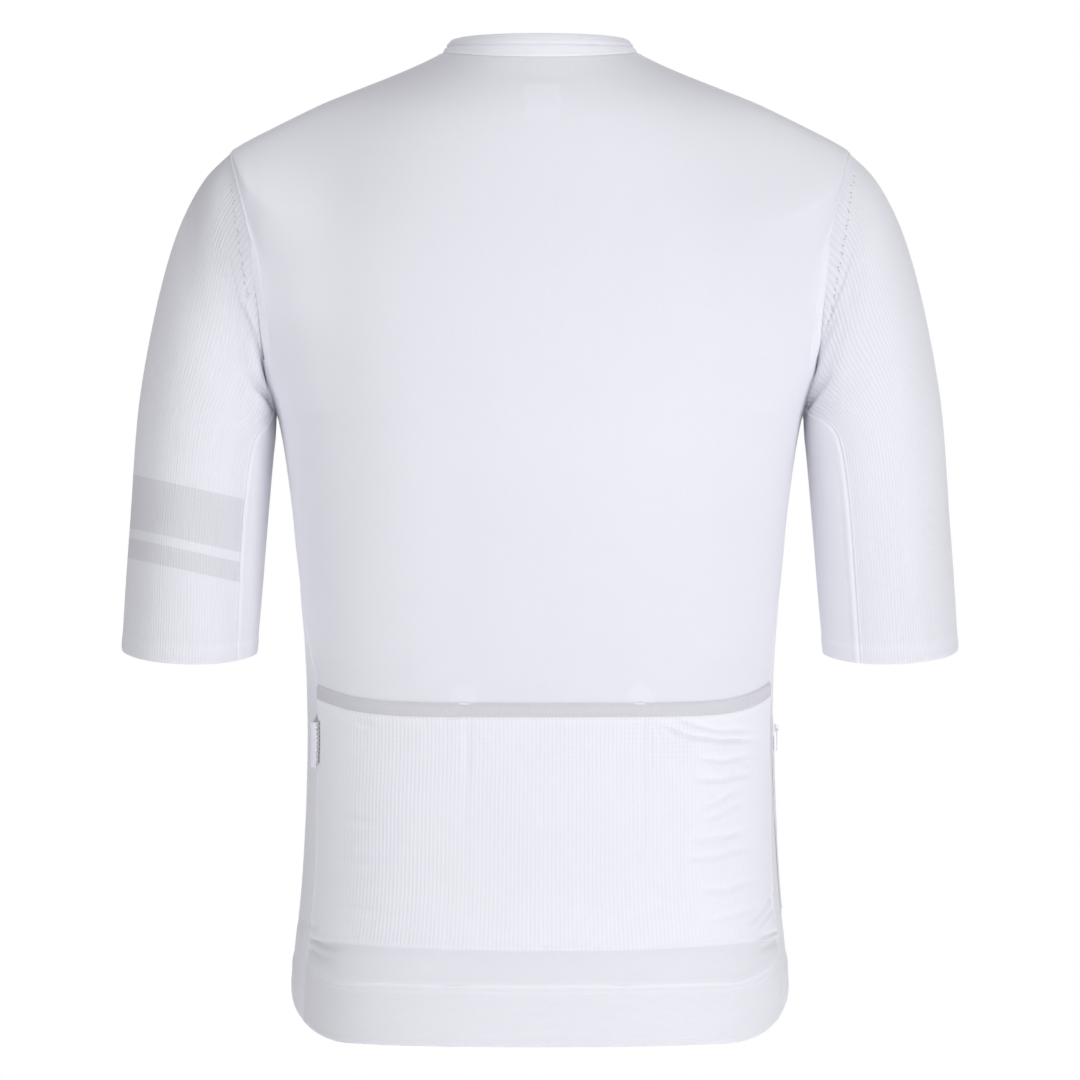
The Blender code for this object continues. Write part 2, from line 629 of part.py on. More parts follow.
# ----------------------------------------------------- what is sewn on or in
def body_patch(name, xs, level_low, level_high, rows, thickness, lift, finish, front=False):
    """A strip on the back or front, between two levels, across the given x."""
    level = level_low + (level_high - level_low) * spaced(rows)[:, None] + 0 * np.asarray(xs, float)[None, :]
    x = np.asarray(xs, float)[None, :] + 0 * level
    share = np.clip(np.abs(x) / ring["inner_width"](level), 0, 1) ** (square(level) / 2)
    theta = np.where(x >= 0, np.arccos(share), math.pi - np.arccos(share))
    if front:
        theta = -theta
    wall(name, body(theta, level), body_normal(theta, level), thickness, finish, lift=lift, gap=0.0)


def level_for_back_z(z):
    low, high = -300.0, 0.0
    for _ in range(50):
        middle = (low + high) / 2
        if body(math.pi / 2, middle)[2] > z:
            high = middle
        else:
            low = middle
    return (low + high) / 2


# Neck label, blank, inside the back, sewn below the collar seam.
body_patch("neck_label", [10.0, 2.3, -5.5, -13.3], level_for_back_z(-48.8), level_for_back_z(-28.0), 2, 0.8, -CLOTH - 0.9, "ribbon")


def disc(name, x, z, radius, depth_out, depth_in, finish):
    """A thin round patch behind the back panel."""
    turns = 16
    angles = np.arange(turns) * 2 * math.pi / turns
    px, pz = x + radius * np.cos(angles), z + radius * np.sin(angles)
    px, pz = np.append(px, x), np.append(pz, z)
    share = np.clip(np.abs(px) / ring["half_width"](pz), 0, 1) ** (square(pz) / 2)
    theta = np.where(px >= 0, np.arccos(share), math.pi - np.arccos(share))
    points, normals = body(theta, pz), body_normal(theta, pz)
    outer, inner = points + normals * depth_out, points + normals * depth_in
    n = turns + 1
    faces = []
    for k in range(turns):
        m = (k + 1) % turns
        tri = (turns, k, m)
        if np.dot(np.cross(points[k] - points[turns], points[m] - points[turns]), normals[turns]) < 0:
            tri = (turns, m, k)
        faces.append(tri)
        faces.append(tuple(n + q for q in tri[::-1]))
        side_quad = (tri[1], tri[2])
        faces.append((side_quad[1], side_quad[0], n + side_quad[0], n + side_quad[1]))
    add_object(name, np.concatenate([outer, inner]), faces, finish)


disc("pocket_patch_left", 51.5, -426.5, 6.8, -CLOTH - 0.9, -CLOTH - 1.7, "ribbon")
disc("pocket_patch_right", -66.5, -426.0, 6.8, -CLOTH - 0.9, -CLOTH - 1.7, "ribbon")


def side_strip(name, side, y_low, y_high, z_low, z_high, rows, columns, thickness, lift, finish, slope=0.0):
    """A strip on the body's side, between two y, standing up the side."""
    z = z_low + (z_high - z_low) * spaced(rows)[:, None] + 0 * spaced(columns)[None, :]
    shift = slope * (z - z_high)
    y = y_low + (y_high - y_low) * spaced(columns)[None, :] + shift
    angle = angle_at(y, z)
    points, normals = body(angle, z), body_normal(angle, z)
    if side == "right":
        points, normals = mirrored(points), mirrored(normals)
    wall(name, points, normals, thickness, finish, lift=lift, gap=0.0)


# Ribbon tab, folded in the left side seam and lying forward of it.
side_strip("side_tab", "left", 26.8, 35.3, -473.5, -444.0, 2, 2, 1.2, LAYER_GAP + 1.2, "ribbon")

# Side pocket zip, on the wearer's right, just forward of the side seam.
ZIP_Y, ZIP_TOP, ZIP_FOOT = 11.5, -441.0, -572.0
ZIP_LEAN = 0.12    # it runs forward going down, level with ZIP_Y at the slider
side_strip("side_zip_tape", "right", ZIP_Y + 7.5 * ZIP_LEAN - 5.0, ZIP_Y + 7.5 * ZIP_LEAN + 5.0, ZIP_FOOT, ZIP_TOP, 10, 2, 0.9, LAYER_GAP + 0.9, "zip_tape", ZIP_LEAN)
side_strip("side_zip_chain", "right", ZIP_Y - 5 * ZIP_LEAN - 1.9, ZIP_Y - 5 * ZIP_LEAN + 1.9, ZIP_FOOT + 3, ZIP_TOP - 12.5, 9, 2, 1.1, LAYER_GAP + 0.9 + LAYER_GAP + 1.1, "zip_plastic", ZIP_LEAN)


# Front zip: the tape runs behind the fronts, the chain between them.
def front_line(x_list, thickness, lift, name, finish, top_up):
    levels = [HEM_FRONT + 1.5 + (UNDERARM - HEM_FRONT - 1.5) * n / 9 for n in range(9)]
    levels += list(UNDERARM + (SHOULDER_TIP - UNDERARM) * np.arange(9) / 8)
    levels += [SHOULDER_TIP * (1 - k / NECK_ROWS) for k in range(1, NECK_ROWS + 1)]
    levels = np.array(levels)[:, None]
    x = np.asarray(x_list, float)[None, :]
    share = np.clip(np.abs(x) / ring["inner_width"](levels), 0, 1) ** (square(levels) / 2)
    theta = np.where(x >= 0, -np.arccos(share), -math.pi + np.arccos(share))
    points, normals = body(theta, levels + 0 * theta), body_normal(theta, levels + 0 * theta)
    ups = np.array([u for u in (0.5, 1.0) if u <= top_up] or [])[:, None]
    if len(ups):
        half = Smooth(COLLAR_RINGS["up"], COLLAR_RINGS["half_width"])(ups)
        t = np.arccos(np.clip(np.abs(x) / half, 0, 1))
        t = np.where(x >= 0, -t, -math.pi + t)
        points = np.concatenate([points, collar(t, ups + 0 * t)])
        normals = np.concatenate([normals, collar_normal(t, ups + 0 * t)])
    wall(name, points, normals, thickness, finish, lift=lift, gap=0.0)


front_line([9.0, 3.0, -3.0, -9.0], 1.0, -COLLAR_WALL - 0.7, "front_zip_tape", "zip_tape", 1.0)
front_line([2.4, 0.0, -2.4], 2.3, 0.6, "front_zip_chain", "zip_plastic", 0.4)


# ------------------------------------------------------- sliders and pulls
def cells(name, xs, ys, zs, filled, frame, origin, finish, turn=0.0, about=(0.0, 0.0), pivot=None):
    """A solid of box cells in a slider's own axes: across, along, out."""
    keep = set(filled)
    corner = {}
    points, faces = [], []

    def vertex(i, j, k):
        if (i, j, k) not in corner:
            corner[(i, j, k)] = len(points)
            points.append((xs[i], ys[j], zs[k]))
        return corner[(i, j, k)]

    sides = (
        ((-1, 0, 0), ((0, 0, 0), (0, 0, 1), (0, 1, 1), (0, 1, 0))),
        ((1, 0, 0), ((1, 0, 0), (1, 1, 0), (1, 1, 1), (1, 0, 1))),
        ((0, -1, 0), ((0, 0, 0), (1, 0, 0), (1, 0, 1), (0, 0, 1))),
        ((0, 1, 0), ((0, 1, 0), (0, 1, 1), (1, 1, 1), (1, 1, 0))),
        ((0, 0, -1), ((0, 0, 0), (0, 1, 0), (1, 1, 0), (1, 0, 0))),
        ((0, 0, 1), ((0, 0, 1), (1, 0, 1), (1, 1, 1), (0, 1, 1))),
    )
    for i, j, k in sorted(keep):
        for (di, dj, dk), quad in sides:
            if (i + di, j + dj, k + dk) not in keep:
                faces.append(tuple(vertex(i + a, j + b, k + c) for a, b, c in quad))
    local = np.array(points, float)
    if turn:
        # swing about the hinge: the free end moves out from the cloth
        u, o = local[:, 1] - about[0], local[:, 2] - about[1]
        c, s = math.cos(turn), math.sin(turn)
        local[:, 1], local[:, 2] = about[0] + c * u + s * o, about[1] - s * u + c * o
    world = np.asarray(origin, float) + local @ np.array(frame)
    return add_object(name, world, faces, finish, origin_mm=(0, 0, 0) if pivot is None else pivot)


def zip_slider(prefix, origin, frame, scale, base_low, pull_length, pull_half, turn):
    """A slider with a crown over it, and a pull whose eye hangs in the crown. frame's rows are across, along (up the zip) and out."""
    k = scale
    plate = 1.8 * k
    xs = [-4.0 * k, -0.7 * k, 0.7 * k, 4.0 * k]
    ys = [-4.5 * k, -2.6 * k, -1.8 * k, 1.8 * k, 2.6 * k, 4.5 * k]
    zs = [base_low, plate, 3.6 * k, 4.4 * k]
    filled = [(i, j, 0) for i in range(3) for j in range(5)]
    filled += [(1, 1, 1), (1, 3, 1)] + [(1, j, 2) for j in (1, 2, 3)]
    cells(prefix + "_slider", xs, ys, zs, filled, frame, origin, "zip_plastic")
    hinge_along, hinge_out = -0.9 * k, 2.7 * k
    pivot = np.asarray(origin) + hinge_along * frame[1] + hinge_out * frame[2]
    eye = 4.6 * k
    px = [-pull_half, -1.1 * k - (pull_half - 2.3 * k) * 0.0, 1.1 * k, pull_half]
    py = [hinge_along - pull_length, hinge_along - eye, hinge_along - 0.5 * k, hinge_along + 0.5 * k]
    pz = [hinge_out - 0.5 * k, hinge_out + 0.5 * k]
    filled = [(0, 0, 0), (1, 0, 0), (2, 0, 0), (0, 1, 0), (2, 1, 0), (0, 2, 0), (1, 2, 0), (2, 2, 0)]
    cells(prefix + "_pull", px, py, pz, filled, frame, origin, "zip_plastic", turn=turn, about=(hinge_along, hinge_out), pivot=pivot)
    return pivot


# front: at the top of the collar's opening
low_point, high_point = collar(-math.pi / 2, 0.40), collar(-math.pi / 2, 1.0)
rise = unit(high_point - low_point)
across = np.array([1.0, 0.0, 0.0])
outward = np.cross(across, rise)
front_pivot = zip_slider("front_zip", (low_point + high_point) / 2 + rise * 0.6, np.array([across, rise, outward]), 0.85, -1.6, 22.0, 2.9, math.radians(14))

# side: at the top of the pocket zip
z_mid = ZIP_TOP - 7.5
angle = angle_at(ZIP_Y, z_mid)
foot_point = mirrored(body(angle, z_mid))
outward = mirrored(body_normal(angle, z_mid))
rise = unit(np.array([0.0, 0.0, 1.0]) - outward * outward[2])
across = np.cross(rise, outward)
start = LAYER_GAP + 0.9 + LAYER_GAP
side_pivot = zip_slider("side_zip", foot_point + outward * start, np.array([across, rise, outward]), 0.62, 0.0, 14.5, 2.0, math.radians(0))
print("front pull hinge", np.round(front_pivot * MM, 5).tolist(), "side pull hinge", np.round(side_pivot * MM, 5).tolist(), "side axis", np.round(across, 4).tolist())
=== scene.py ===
"""The looks of a short-sleeved cycling jersey: fine cloth shells, seams, stitches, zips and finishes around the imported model.

Sizes below are in millimetres and become metres when a mesh is made. The
tables and the form's functions are the same as in the construction, so each
shell lies on its solid.
"""

import math

import bpy
import numpy as np
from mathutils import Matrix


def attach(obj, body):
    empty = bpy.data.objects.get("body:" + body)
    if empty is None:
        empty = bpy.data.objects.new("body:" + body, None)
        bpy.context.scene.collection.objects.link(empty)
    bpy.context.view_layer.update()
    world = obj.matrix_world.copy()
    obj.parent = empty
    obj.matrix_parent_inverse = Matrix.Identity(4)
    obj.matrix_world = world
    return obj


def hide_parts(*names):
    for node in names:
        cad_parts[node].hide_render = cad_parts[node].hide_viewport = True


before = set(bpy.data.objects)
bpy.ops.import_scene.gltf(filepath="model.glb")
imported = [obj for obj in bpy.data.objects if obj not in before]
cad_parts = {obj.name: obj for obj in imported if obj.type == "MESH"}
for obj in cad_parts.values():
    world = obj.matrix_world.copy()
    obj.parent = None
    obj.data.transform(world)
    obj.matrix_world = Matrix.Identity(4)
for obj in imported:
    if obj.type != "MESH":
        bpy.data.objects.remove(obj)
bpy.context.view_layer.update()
BODY = "garment"

# ------------------------------------------------------------------ the view
PIXEL = 0.665            # mm of the garment's widest plane in one pixel of the view
VIEW_DISTANCE = 3600.0   # mm from the camera to that plane
EYE_Z = -323.9           # mm, the camera's height
camera_data = bpy.data.cameras.new("camera")
camera_data.sensor_width = 36.0
camera_data.lens = 36.0 * VIEW_DISTANCE / (1080 * PIXEL)
camera_data.clip_end = 200.0
camera = bpy.data.objects.new("camera", camera_data)
camera.location = (0.0, VIEW_DISTANCE / 1000, EYE_Z / 1000)
camera.rotation_euler = (math.radians(90), 0.0, math.radians(180))
bpy.context.scene.collection.objects.link(camera)
bpy.context.scene.camera = camera

# ---------------------------------------------------------------- sizes (mm)
CLOTH = 1.2            # wall of a single panel
SEAM_GAP = 0.3         # between two pieces that are sewn together
LAYER_GAP = 0.3        # between a panel and what lies on it
COLLAR_WALL = 1.6      # folded double
HEM_WALL = 1.8         # doubled elastic
POCKET_WALL = 1.0
HEM_BACK, HEM_FRONT = -651.0, -588.0      # heights of the hem's edge
HEM_TURN = (-40.0, 45.0)                  # degrees between which it drops
HEM_BAND = 39.5                           # height of the hem band
FLAT_LEVEL = -360.0     # from here up the rows are level
UNDERARM, SHOULDER_TIP = -240.0, -66.0    # ends of the armhole
ARMHOLE_BACK, ARMHOLE_FRONT = 50.0, 54.0  # half depths of the armhole
ARMHOLE_EGG = 0.15                        # wider low down
SIDE_Y = -2.0                             # shoulder point and underarm point
POCKET_BAND = 9.2
POCKET_FOOT_SIDE, POCKET_FOOT_MID = -585.0, -589.5
ZIP_OPENING = 4.0      # half the gap between the fronts
DROOP_POWER = 1.3
SHOULDER_ARCH = (5.0, 3.0)   # behind and in front

# The body's rings. "level" is the height at the side, "drop" how much lower
# the ring runs at the centre back and the centre front.
BODY_RINGS = {
    "level": [-662, -622, -588, -563, -530, -495, -455, -420, -392, -358, -322, -284, -244, -232, -211, -171, -136, -103, -80, -66.0, -61.8, -55.9, -50.5, -41.2, -33.3, -26.6, -20.0, -13.3, -6.0, 0.0],
    "half_width": [165.4, 164.9, 162.2, 159.2, 156.8, 155.2, 154.4, 155.0, 156.4, 159.4, 162.5, 167.0, 173.8, 177.8, 186.6, 196.8, 200.5, 202.0, 204.0, 204.9, 199.5, 188.9, 178.2, 159.6, 143.0, 126.4, 109.7, 93.0, 76.5, 64.5],
    # away from the side, over the shoulder blades and the chest, the shoulders round over sooner
    "inner_width": [165.4, 164.9, 162.2, 159.2, 156.8, 155.2, 154.4, 155.0, 156.4, 159.4, 162.5, 167.0, 173.0, 175.2, 179.5, 187.0, 191.5, 192.0, 189.0, 184.6, 181.8, 176.4, 170.0, 155.5, 141.3, 126.2, 109.7, 93.0, 76.5, 64.5],
    "back": [111, 109, 106, 103, 97.5, 92, 88.5, 88, 89.5, 93.5, 98.5, 104, 109.2, 110.2, 111.2, 111.3, 110.0, 107.8, 105.3, 102.8, 101.6, 99.8, 97.7, 93.8, 90.1, 86.4, 82.0, 76.0, 68.5, 61.5],
    "front": [103, 103, 103, 102.5, 101.5, 100.5, 100, 100.5, 102.5, 107, 113, 119, 123.5, 124, 122.8, 119, 115.5, 112, 109.5, 107, 105.5, 103.3, 101, 96.8, 92.8, 88.8, 84.6, 79.5, 73.2, 66.0],
    "drop_back": [0, 0, 0, 0, 0, 0, 0, 0, 0, 0, 0, 0, 0, 1, 6, 17.5, 30, 43, 52, 55, 54.3, 52.3, 49.8, 44.5, 39.5, 34.5, 29, 22.5, 15, 8.0],
    "drop_front": [0, 0, 0, 0, 0, 0, 0, 0, 0, 0, 0, 0, 0, 1, 6, 20.5, 38, 57, 70, 76, 76, 75.5, 75, 73.5, 71.5, 69.5, 67, 64, 60, 55.0],
}
BODY_SQUARE = {
    "level": [-662, -560, -455, -330, -244, -171, -103, -66, -33, 0],
    "power": [2.35, 2.32, 2.30, 2.32, 2.34, 2.30, 2.22, 2.15, 2.08, 2.0],
}
# Where the side seams run: how far behind the body's widest line.
SIDE_SEAM = {
    "level": [-662, -600, -560, -480, -420, -400, -370, -340, -300, -240],
    "left_y": [48, 46.5, 45.5, 37, 36, 29.5, 21, 12, -1, SIDE_Y],
    "right_y": [38, 35.5, 35, 26, 24.5, 21.5, 16.5, 8, -1, SIDE_Y],
}
# The shoulder seam runs a little forward of the ridge.
SHOULDER_SEAM = {"level": [-66, -50, -30, 0], "y": [SIDE_Y, -6, -10, -12]}

# The sleeve's rings after the armhole: the outermost and innermost point
# (x, z), the half depths, the centre's y, and where the ring lies along it.
SLEEVE_RINGS = {
    "along": [0.0, 0.085, 0.20, 0.34, 0.50, 0.68, 0.83, 1.0],
    "top_x": [None, 222.0, 241.0, 256.5, 267.4, 272.2, 275.6, 278.8],
    "top_z": [None, -83.5, -120.0, -177.0, -242.0, -305.0, -350.0, -399.0],
    "low_x": [None, 175.3, 175.5, 175.9, 177.1, 181.4, 185.0, 189.2],
    "low_z": [None, -243.5, -248.5, -255.5, -266.0, -313.0, -356.0, -402.0],
    "back": [None, 55.0, 59.5, 60.5, 58.5, 55.5, 54.0, 53.0],
    "front": [None, 57.0, 58.5, 58.0, 57.0, 55.5, 54.0, 53.0],
    "mid_y": [None, -1.0, -1.0, -1.5, -3.0, -7.0, -9.5, -12.5],
}
SLEEVE_SQUARE = 2.12
# Under-sleeve panel: degrees round the ring, from the top, to its two seams.
UNDER_SEAM = {
    "along": [0.0, 0.20, 0.34, 0.50, 0.68, 1.0],
    "left_back": [162, 156, 147, 136, 132, 137],
    "left_front": [162, 157, 148, 136, 128, 126],
    "right_back": [162, 150, 136, 123, 119, 120],
    "right_front": [162, 158, 152, 144, 140, 140],
}
# The largest folds: soft troughs across the sleeve's back where it turns in
# to the armhole, and milder ones in front.
SLEEVE_FOLDS = (
    # side, from (degrees, along), to (degrees, along), depth, half width
    {"side": "left", "a0": 118, "w0": 0.19, "a1": 160, "w1": 0.03, "deep": 3.0, "wide": 7.0},
    {"side": "right", "a0": 120, "w0": 0.20, "a1": 160, "w1": 0.03, "deep": 3.2, "wide": 7.0},
    {"side": "left", "a0": -112, "w0": 0.17, "a1": -158, "w1": 0.03, "deep": 2.6, "wide": 7.0},
    {"side": "right", "a0": -115, "w0": 0.19, "a1": -158, "w1": 0.03, "deep": 2.4, "wide": 7.0},
)

# Collar rings, from the neck seam to the top edge.
COLLAR_RINGS = {
    "up": [0.0, 0.5, 1.0],
    "half_width": [64.5, 62.3, 58.6],
    "back": [61.5, 60.0, 57.0],
    "front": [66.0, 64.4, 61.5],
    "side_z": [0.0, 3.6, 8.4],
    "back_z": [-8.0, 0.8, 8.2],
    "front_z": [-55.0, -48.2, -41.0],
}

ARMHOLE_STEPS = (180, 171, 162, 144, 126, 108, 90, 72, 54, 36, 18, 0)
BACK_COLUMNS, FRONT_COLUMNS = 18, 9


# ------------------------------------------------------------ interpolation
class Smooth:
    """A smooth curve through a table's columns that never overshoots them."""

    def __init__(self, xs, ys):
        self.x = np.asarray(xs, float)
        self.y = np.asarray(ys, float)
        h = np.diff(self.x)
        shape = (-1,) + (1,) * (self.y.ndim - 1)
        d = np.diff(self.y, axis=0) / h.reshape(shape)
        m = np.zeros_like(self.y)
        m[0], m[-1] = d[0], d[-1]
        for k in range(1, len(self.x) - 1):
            w1, w2 = 2 * h[k] + h[k - 1], h[k] + 2 * h[k - 1]
            a, b = d[k - 1], d[k]
            same = a * b > 0
            safe_a, safe_b = np.where(same, a, 1.0), np.where(same, b, 1.0)
            m[k] = np.where(same, (w1 + w2) / (w1 / safe_a + w2 / safe_b), 0.0)
        self.m = m

    def __call__(self, at):
        at = np.clip(np.asarray(at, float), self.x[0], self.x[-1])
        k = np.clip(np.searchsorted(self.x, at, side="right") - 1, 0, len(self.x) - 2)
        h = self.x[k + 1] - self.x[k]
        t = (at - self.x[k]) / h
        return (
            (1 + 2 * t) * (1 - t) ** 2 * self.y[k]
            + t * (1 - t) ** 2 * h * self.m[k]
            + t * t * (3 - 2 * t) * self.y[k + 1]
            + t * t * (t - 1) * h * self.m[k + 1]
        )


def blend_rows(xs, rows, at):
    """Each point's smooth path through a stack of rings, xs along the stack."""
    rows = np.asarray(rows, float)
    h = np.diff(xs).reshape((-1,) + (1,) * (rows.ndim - 1))
    d = np.diff(rows, axis=0) / h
    m = np.zeros_like(rows)
    m[0], m[-1] = d[0], d[-1]
    for k in range(1, len(xs) - 1):
        w1, w2 = 2 * h[k] + h[k - 1], h[k] + 2 * h[k - 1]
        same = d[k - 1] * d[k] > 0
        a, b = np.where(same, d[k - 1], 1.0), np.where(same, d[k], 1.0)
        m[k] = np.where(same, (w1 + w2) / (w1 / a + w2 / b), 0.0)
    at = np.asarray(at, float)
    k = np.clip(np.searchsorted(xs, at, side="right") - 1, 0, len(xs) - 2)
    xs = np.asarray(xs, float)
    step = (xs[k + 1] - xs[k])[..., None]
    t = ((at - xs[k]) / (xs[k + 1] - xs[k]))[..., None]

    def pick(stack, index):
        return np.take_along_axis(stack, index[None, ..., None], axis=0)[0]

    return (
        (1 + 2 * t) * (1 - t) ** 2 * pick(rows, k)
        + t * (1 - t) ** 2 * step * pick(m, k)
        + t * t * (3 - 2 * t) * pick(rows, k + 1)
        + t * t * (t - 1) * step * pick(m, k + 1)
    )


def signed_power(value, power):
    return np.sign(value) * np.abs(value) ** power


def smoothstep(t):
    t = np.clip(t, 0.0, 1.0)
    return t * t * (3 - 2 * t)


# ----------------------------------------------------------------- the body
ring = {key: Smooth(BODY_RINGS["level"], BODY_RINGS[key]) for key in BODY_RINGS if key != "level"}
square = Smooth(BODY_SQUARE["level"], BODY_SQUARE["power"])
seam_y = {
    "left": Smooth(SIDE_SEAM["level"][::1], SIDE_SEAM["left_y"]),
    "right": Smooth(SIDE_SEAM["level"][::1], SIDE_SEAM["right_y"]),
}
shoulder_y = Smooth(SHOULDER_SEAM["level"], SHOULDER_SEAM["y"])


def body(theta, level):
    """A point of the body's form. theta is 0 at the wearer's left side, 90 degrees at the centre back."""
    theta, level = np.broadcast_arrays(np.asarray(theta, float), np.asarray(level, float))
    c, s = np.cos(theta), np.sin(theta)
    power = 2.0 / square(level)
    behind = s >= 0
    depth = np.where(behind, ring["back"](level), ring["front"](level))
    drop = np.where(behind, ring["drop_back"](level), ring["drop_front"](level))
    away = smoothstep((np.abs(s) - 0.3) / 0.5)
    half = (1 - away) * ring["half_width"](level) + away * ring["inner_width"](level)
    x = half * signed_power(c, power)
    y = depth * signed_power(s, power)
    # On the shoulders the rings fall away fast, like the arch over an armhole.
    arch = smoothstep((-16.0 - level) / 36.0)
    z = level - drop * ((1 - arch) * np.abs(s) ** DROOP_POWER + arch * (1 - (1 - s * s) ** np.where(behind, *SHOULDER_ARCH)))
    return np.stack([x, y, z], axis=-1)


def unit(v):
    return v / np.maximum(np.linalg.norm(v, axis=-1, keepdims=True), 1e-12)


def body_normal(theta, level):
    theta, level = np.broadcast_arrays(np.asarray(theta, float), np.asarray(level, float))
    across = body(theta + 0.02, level) - body(theta - 0.02, level)
    low, high = np.maximum(level - 1.0, -662), np.minimum(level + 1.0, 0)
    up = body(theta, high) - body(theta, low)
    return unit(np.cross(across, up))


def angle_at(y, level):
    """The ring angle, from the side, at which a ring reaches y."""
    y, level = np.broadcast_arrays(np.asarray(y, float), np.asarray(level, float))
    depth = np.where(y >= 0, ring["back"](level), ring["front"](level))
    share = np.clip(np.abs(y) / depth, 0, 1) ** (square(level) / 2)
    return np.sign(y) * np.arcsin(share)


def hem_level(theta):
    lean = np.degrees(np.arcsin(np.clip(np.sin(theta), -1, 1)))
    share = smoothstep((lean - HEM_TURN[0]) / (HEM_TURN[1] - HEM_TURN[0]))
    return HEM_FRONT + (HEM_BACK - HEM_FRONT) * share


def armhole(phi):
    """(angle from the side, level) of the armhole seam. phi is 0 at the shoulder point and 180 degrees at the underarm, positive behind."""
    phi = np.asarray(phi, float)
    c, s = np.cos(phi), np.sin(phi)
    mid, half = (SHOULDER_TIP + UNDERARM) / 2, (SHOULDER_TIP - UNDERARM) / 2
    depth = np.where(s >= 0, ARMHOLE_BACK, ARMHOLE_FRONT)
    want_z = mid + half * c
    want_y = SIDE_Y + depth * s * (1 - ARMHOLE_EGG * c)
    low = np.full(phi.shape, UNDERARM - 6.0)
    high = np.full(phi.shape, -1.0)
    for _ in range(48):
        level = (low + high) / 2
        angle = angle_at(want_y, level)
        over = body(angle, level)[..., 2] > want_z
        high, low = np.where(over, level, high), np.where(over, low, level)
    level = (low + high) / 2
    return angle_at(want_y, level), level


def side_angle(level, side):
    """The side seam's angle below the armhole, the shoulder seam's above it."""
    level = np.asarray(level, float)
    y = np.where(level > (UNDERARM + SHOULDER_TIP) / 2, shoulder_y(level), seam_y[side](level))
    return angle_at(y, level)


# -------------------------------------------------------------- the sleeves
def sleeve_stack(phi):
    """Every sleeve ring's point at phi, left sleeve, armhole first."""
    phi = np.asarray(phi, float)
    angle, level = armhole(np.arctan2(np.sin(phi), np.cos(phi)))
    stack = [body(angle, level)]
    c = signed_power(np.cos(phi), 2 / SLEEVE_SQUARE)
    s = signed_power(np.sin(phi), 2 / SLEEVE_SQUARE)
    t = SLEEVE_RINGS
    for k in range(1, len(t["along"])):
        mid_x, half_x = (t["top_x"][k] + t["low_x"][k]) / 2, (t["top_x"][k] - t["low_x"][k]) / 2
        mid_z, half_z = (t["top_z"][k] + t["low_z"][k]) / 2, (t["top_z"][k] - t["low_z"][k]) / 2
        depth = np.where(s >= 0, t["back"][k], t["front"][k])
        stack.append(np.stack([mid_x + half_x * c, t["mid_y"][k] + depth * s, mid_z + half_z * c], axis=-1))
    return np.stack(stack)


def sleeve_plain(phi, along):
    phi, along = np.broadcast_arrays(np.asarray(phi, float), np.asarray(along, float))
    return blend_rows(SLEEVE_RINGS["along"], sleeve_stack(phi), along)


def sleeve_normal(phi, along):
    phi, along = np.broadcast_arrays(np.asarray(phi, float), np.asarray(along, float))
    round_it = sleeve_plain(phi + 0.03, along) - sleeve_plain(phi - 0.03, along)
    low, high = np.maximum(along - 0.012, 0), np.minimum(along + 0.012, 1)
    down = sleeve_plain(phi, high) - sleeve_plain(phi, low)
    return unit(np.cross(round_it, down)) * -1.0


def sleeve(phi, along, side):
    """The left sleeve's form with that side's folds pressed in; the right one is mirrored afterwards."""
    phi, along = np.broadcast_arrays(np.asarray(phi, float), np.asarray(along, float))
    point = sleeve_plain(phi, along)
    press = np.zeros(phi.shape)
    bend = np.degrees(np.arctan2(np.sin(phi), np.cos(phi)))
    for fold in SLEEVE_FOLDS:
        if fold["side"] != side:
            continue
        # distances in mm: about 0.95 mm a degree round, 330 mm along
        ax, ay = fold["a0"] * 0.95, fold["w0"] * 330
        bx, by = fold["a1"] * 0.95, fold["w1"] * 330
        px, py = bend * 0.95, along * 330
        t = np.clip(((px - ax) * (bx - ax) + (py - ay) * (by - ay)) / ((bx - ax) ** 2 + (by - ay) ** 2), 0, 1)
        off = np.hypot(px - ax - t * (bx - ax), py - ay - t * (by - ay))
        ends = smoothstep(t * 3.5 + 0.2) * smoothstep((1 - t) * 4 + 0.1)
        press = press + fold["deep"] * ends * np.exp(-((off / fold["wide"]) ** 2))
    fade = smoothstep(along / 0.03)
    return point - sleeve_normal(phi, along) * (press * fade)[..., None]


# --------------------------------------------------------------- the collar
def collar(theta, up):
    theta, up = np.broadcast_arrays(np.asarray(theta, float), np.asarray(up, float))
    c, s = np.cos(theta), np.sin(theta)
    get = {key: Smooth(COLLAR_RINGS["up"], COLLAR_RINGS[key])(up) for key in COLLAR_RINGS if key != "up"}
    behind = s >= 0
    depth = np.where(behind, get["back"], get["front"])
    end_z = np.where(behind, get["back_z"], get["front_z"])
    z = get["side_z"] + (end_z - get["side_z"]) * np.abs(s) ** DROOP_POWER
    return np.stack([get["half_width"] * c, depth * s, z], axis=-1)


def collar_normal(theta, up):
    theta, up = np.broadcast_arrays(np.asarray(theta, float), np.asarray(up, float))
    across = collar(theta + 0.02, up) - collar(theta - 0.02, up)
    rise = collar(theta, np.minimum(up + 0.1, 1)) - collar(theta, np.maximum(up - 0.1, 0))
    return unit(np.cross(across, rise))

def pocket_foot(theta):
    return POCKET_FOOT_SIDE + (POCKET_FOOT_MID - POCKET_FOOT_SIDE) * np.abs(np.sin(theta)) ** 2


def pocket_mouth(theta):
    """The pocket mouths' edge: it hangs between the side seams, a little higher on the wearer's right."""
    across = np.cos(theta)
    return -429.6 + np.where(across >= 0, 15.5 * np.abs(across) ** 5.5, 15.0 * np.abs(across) ** 8)


# ------------------------------------------------------------ fine surfaces
SCREEN = PIXEL / VIEW_DISTANCE


def seen(points):
    """Where the view shows a point: (column, row) in the 1080 frame."""
    far = VIEW_DISTANCE - points[..., 1]
    return 540 - points[..., 0] / (SCREEN * far), 540 + (EYE_Z - points[..., 2]) / (SCREEN * far)


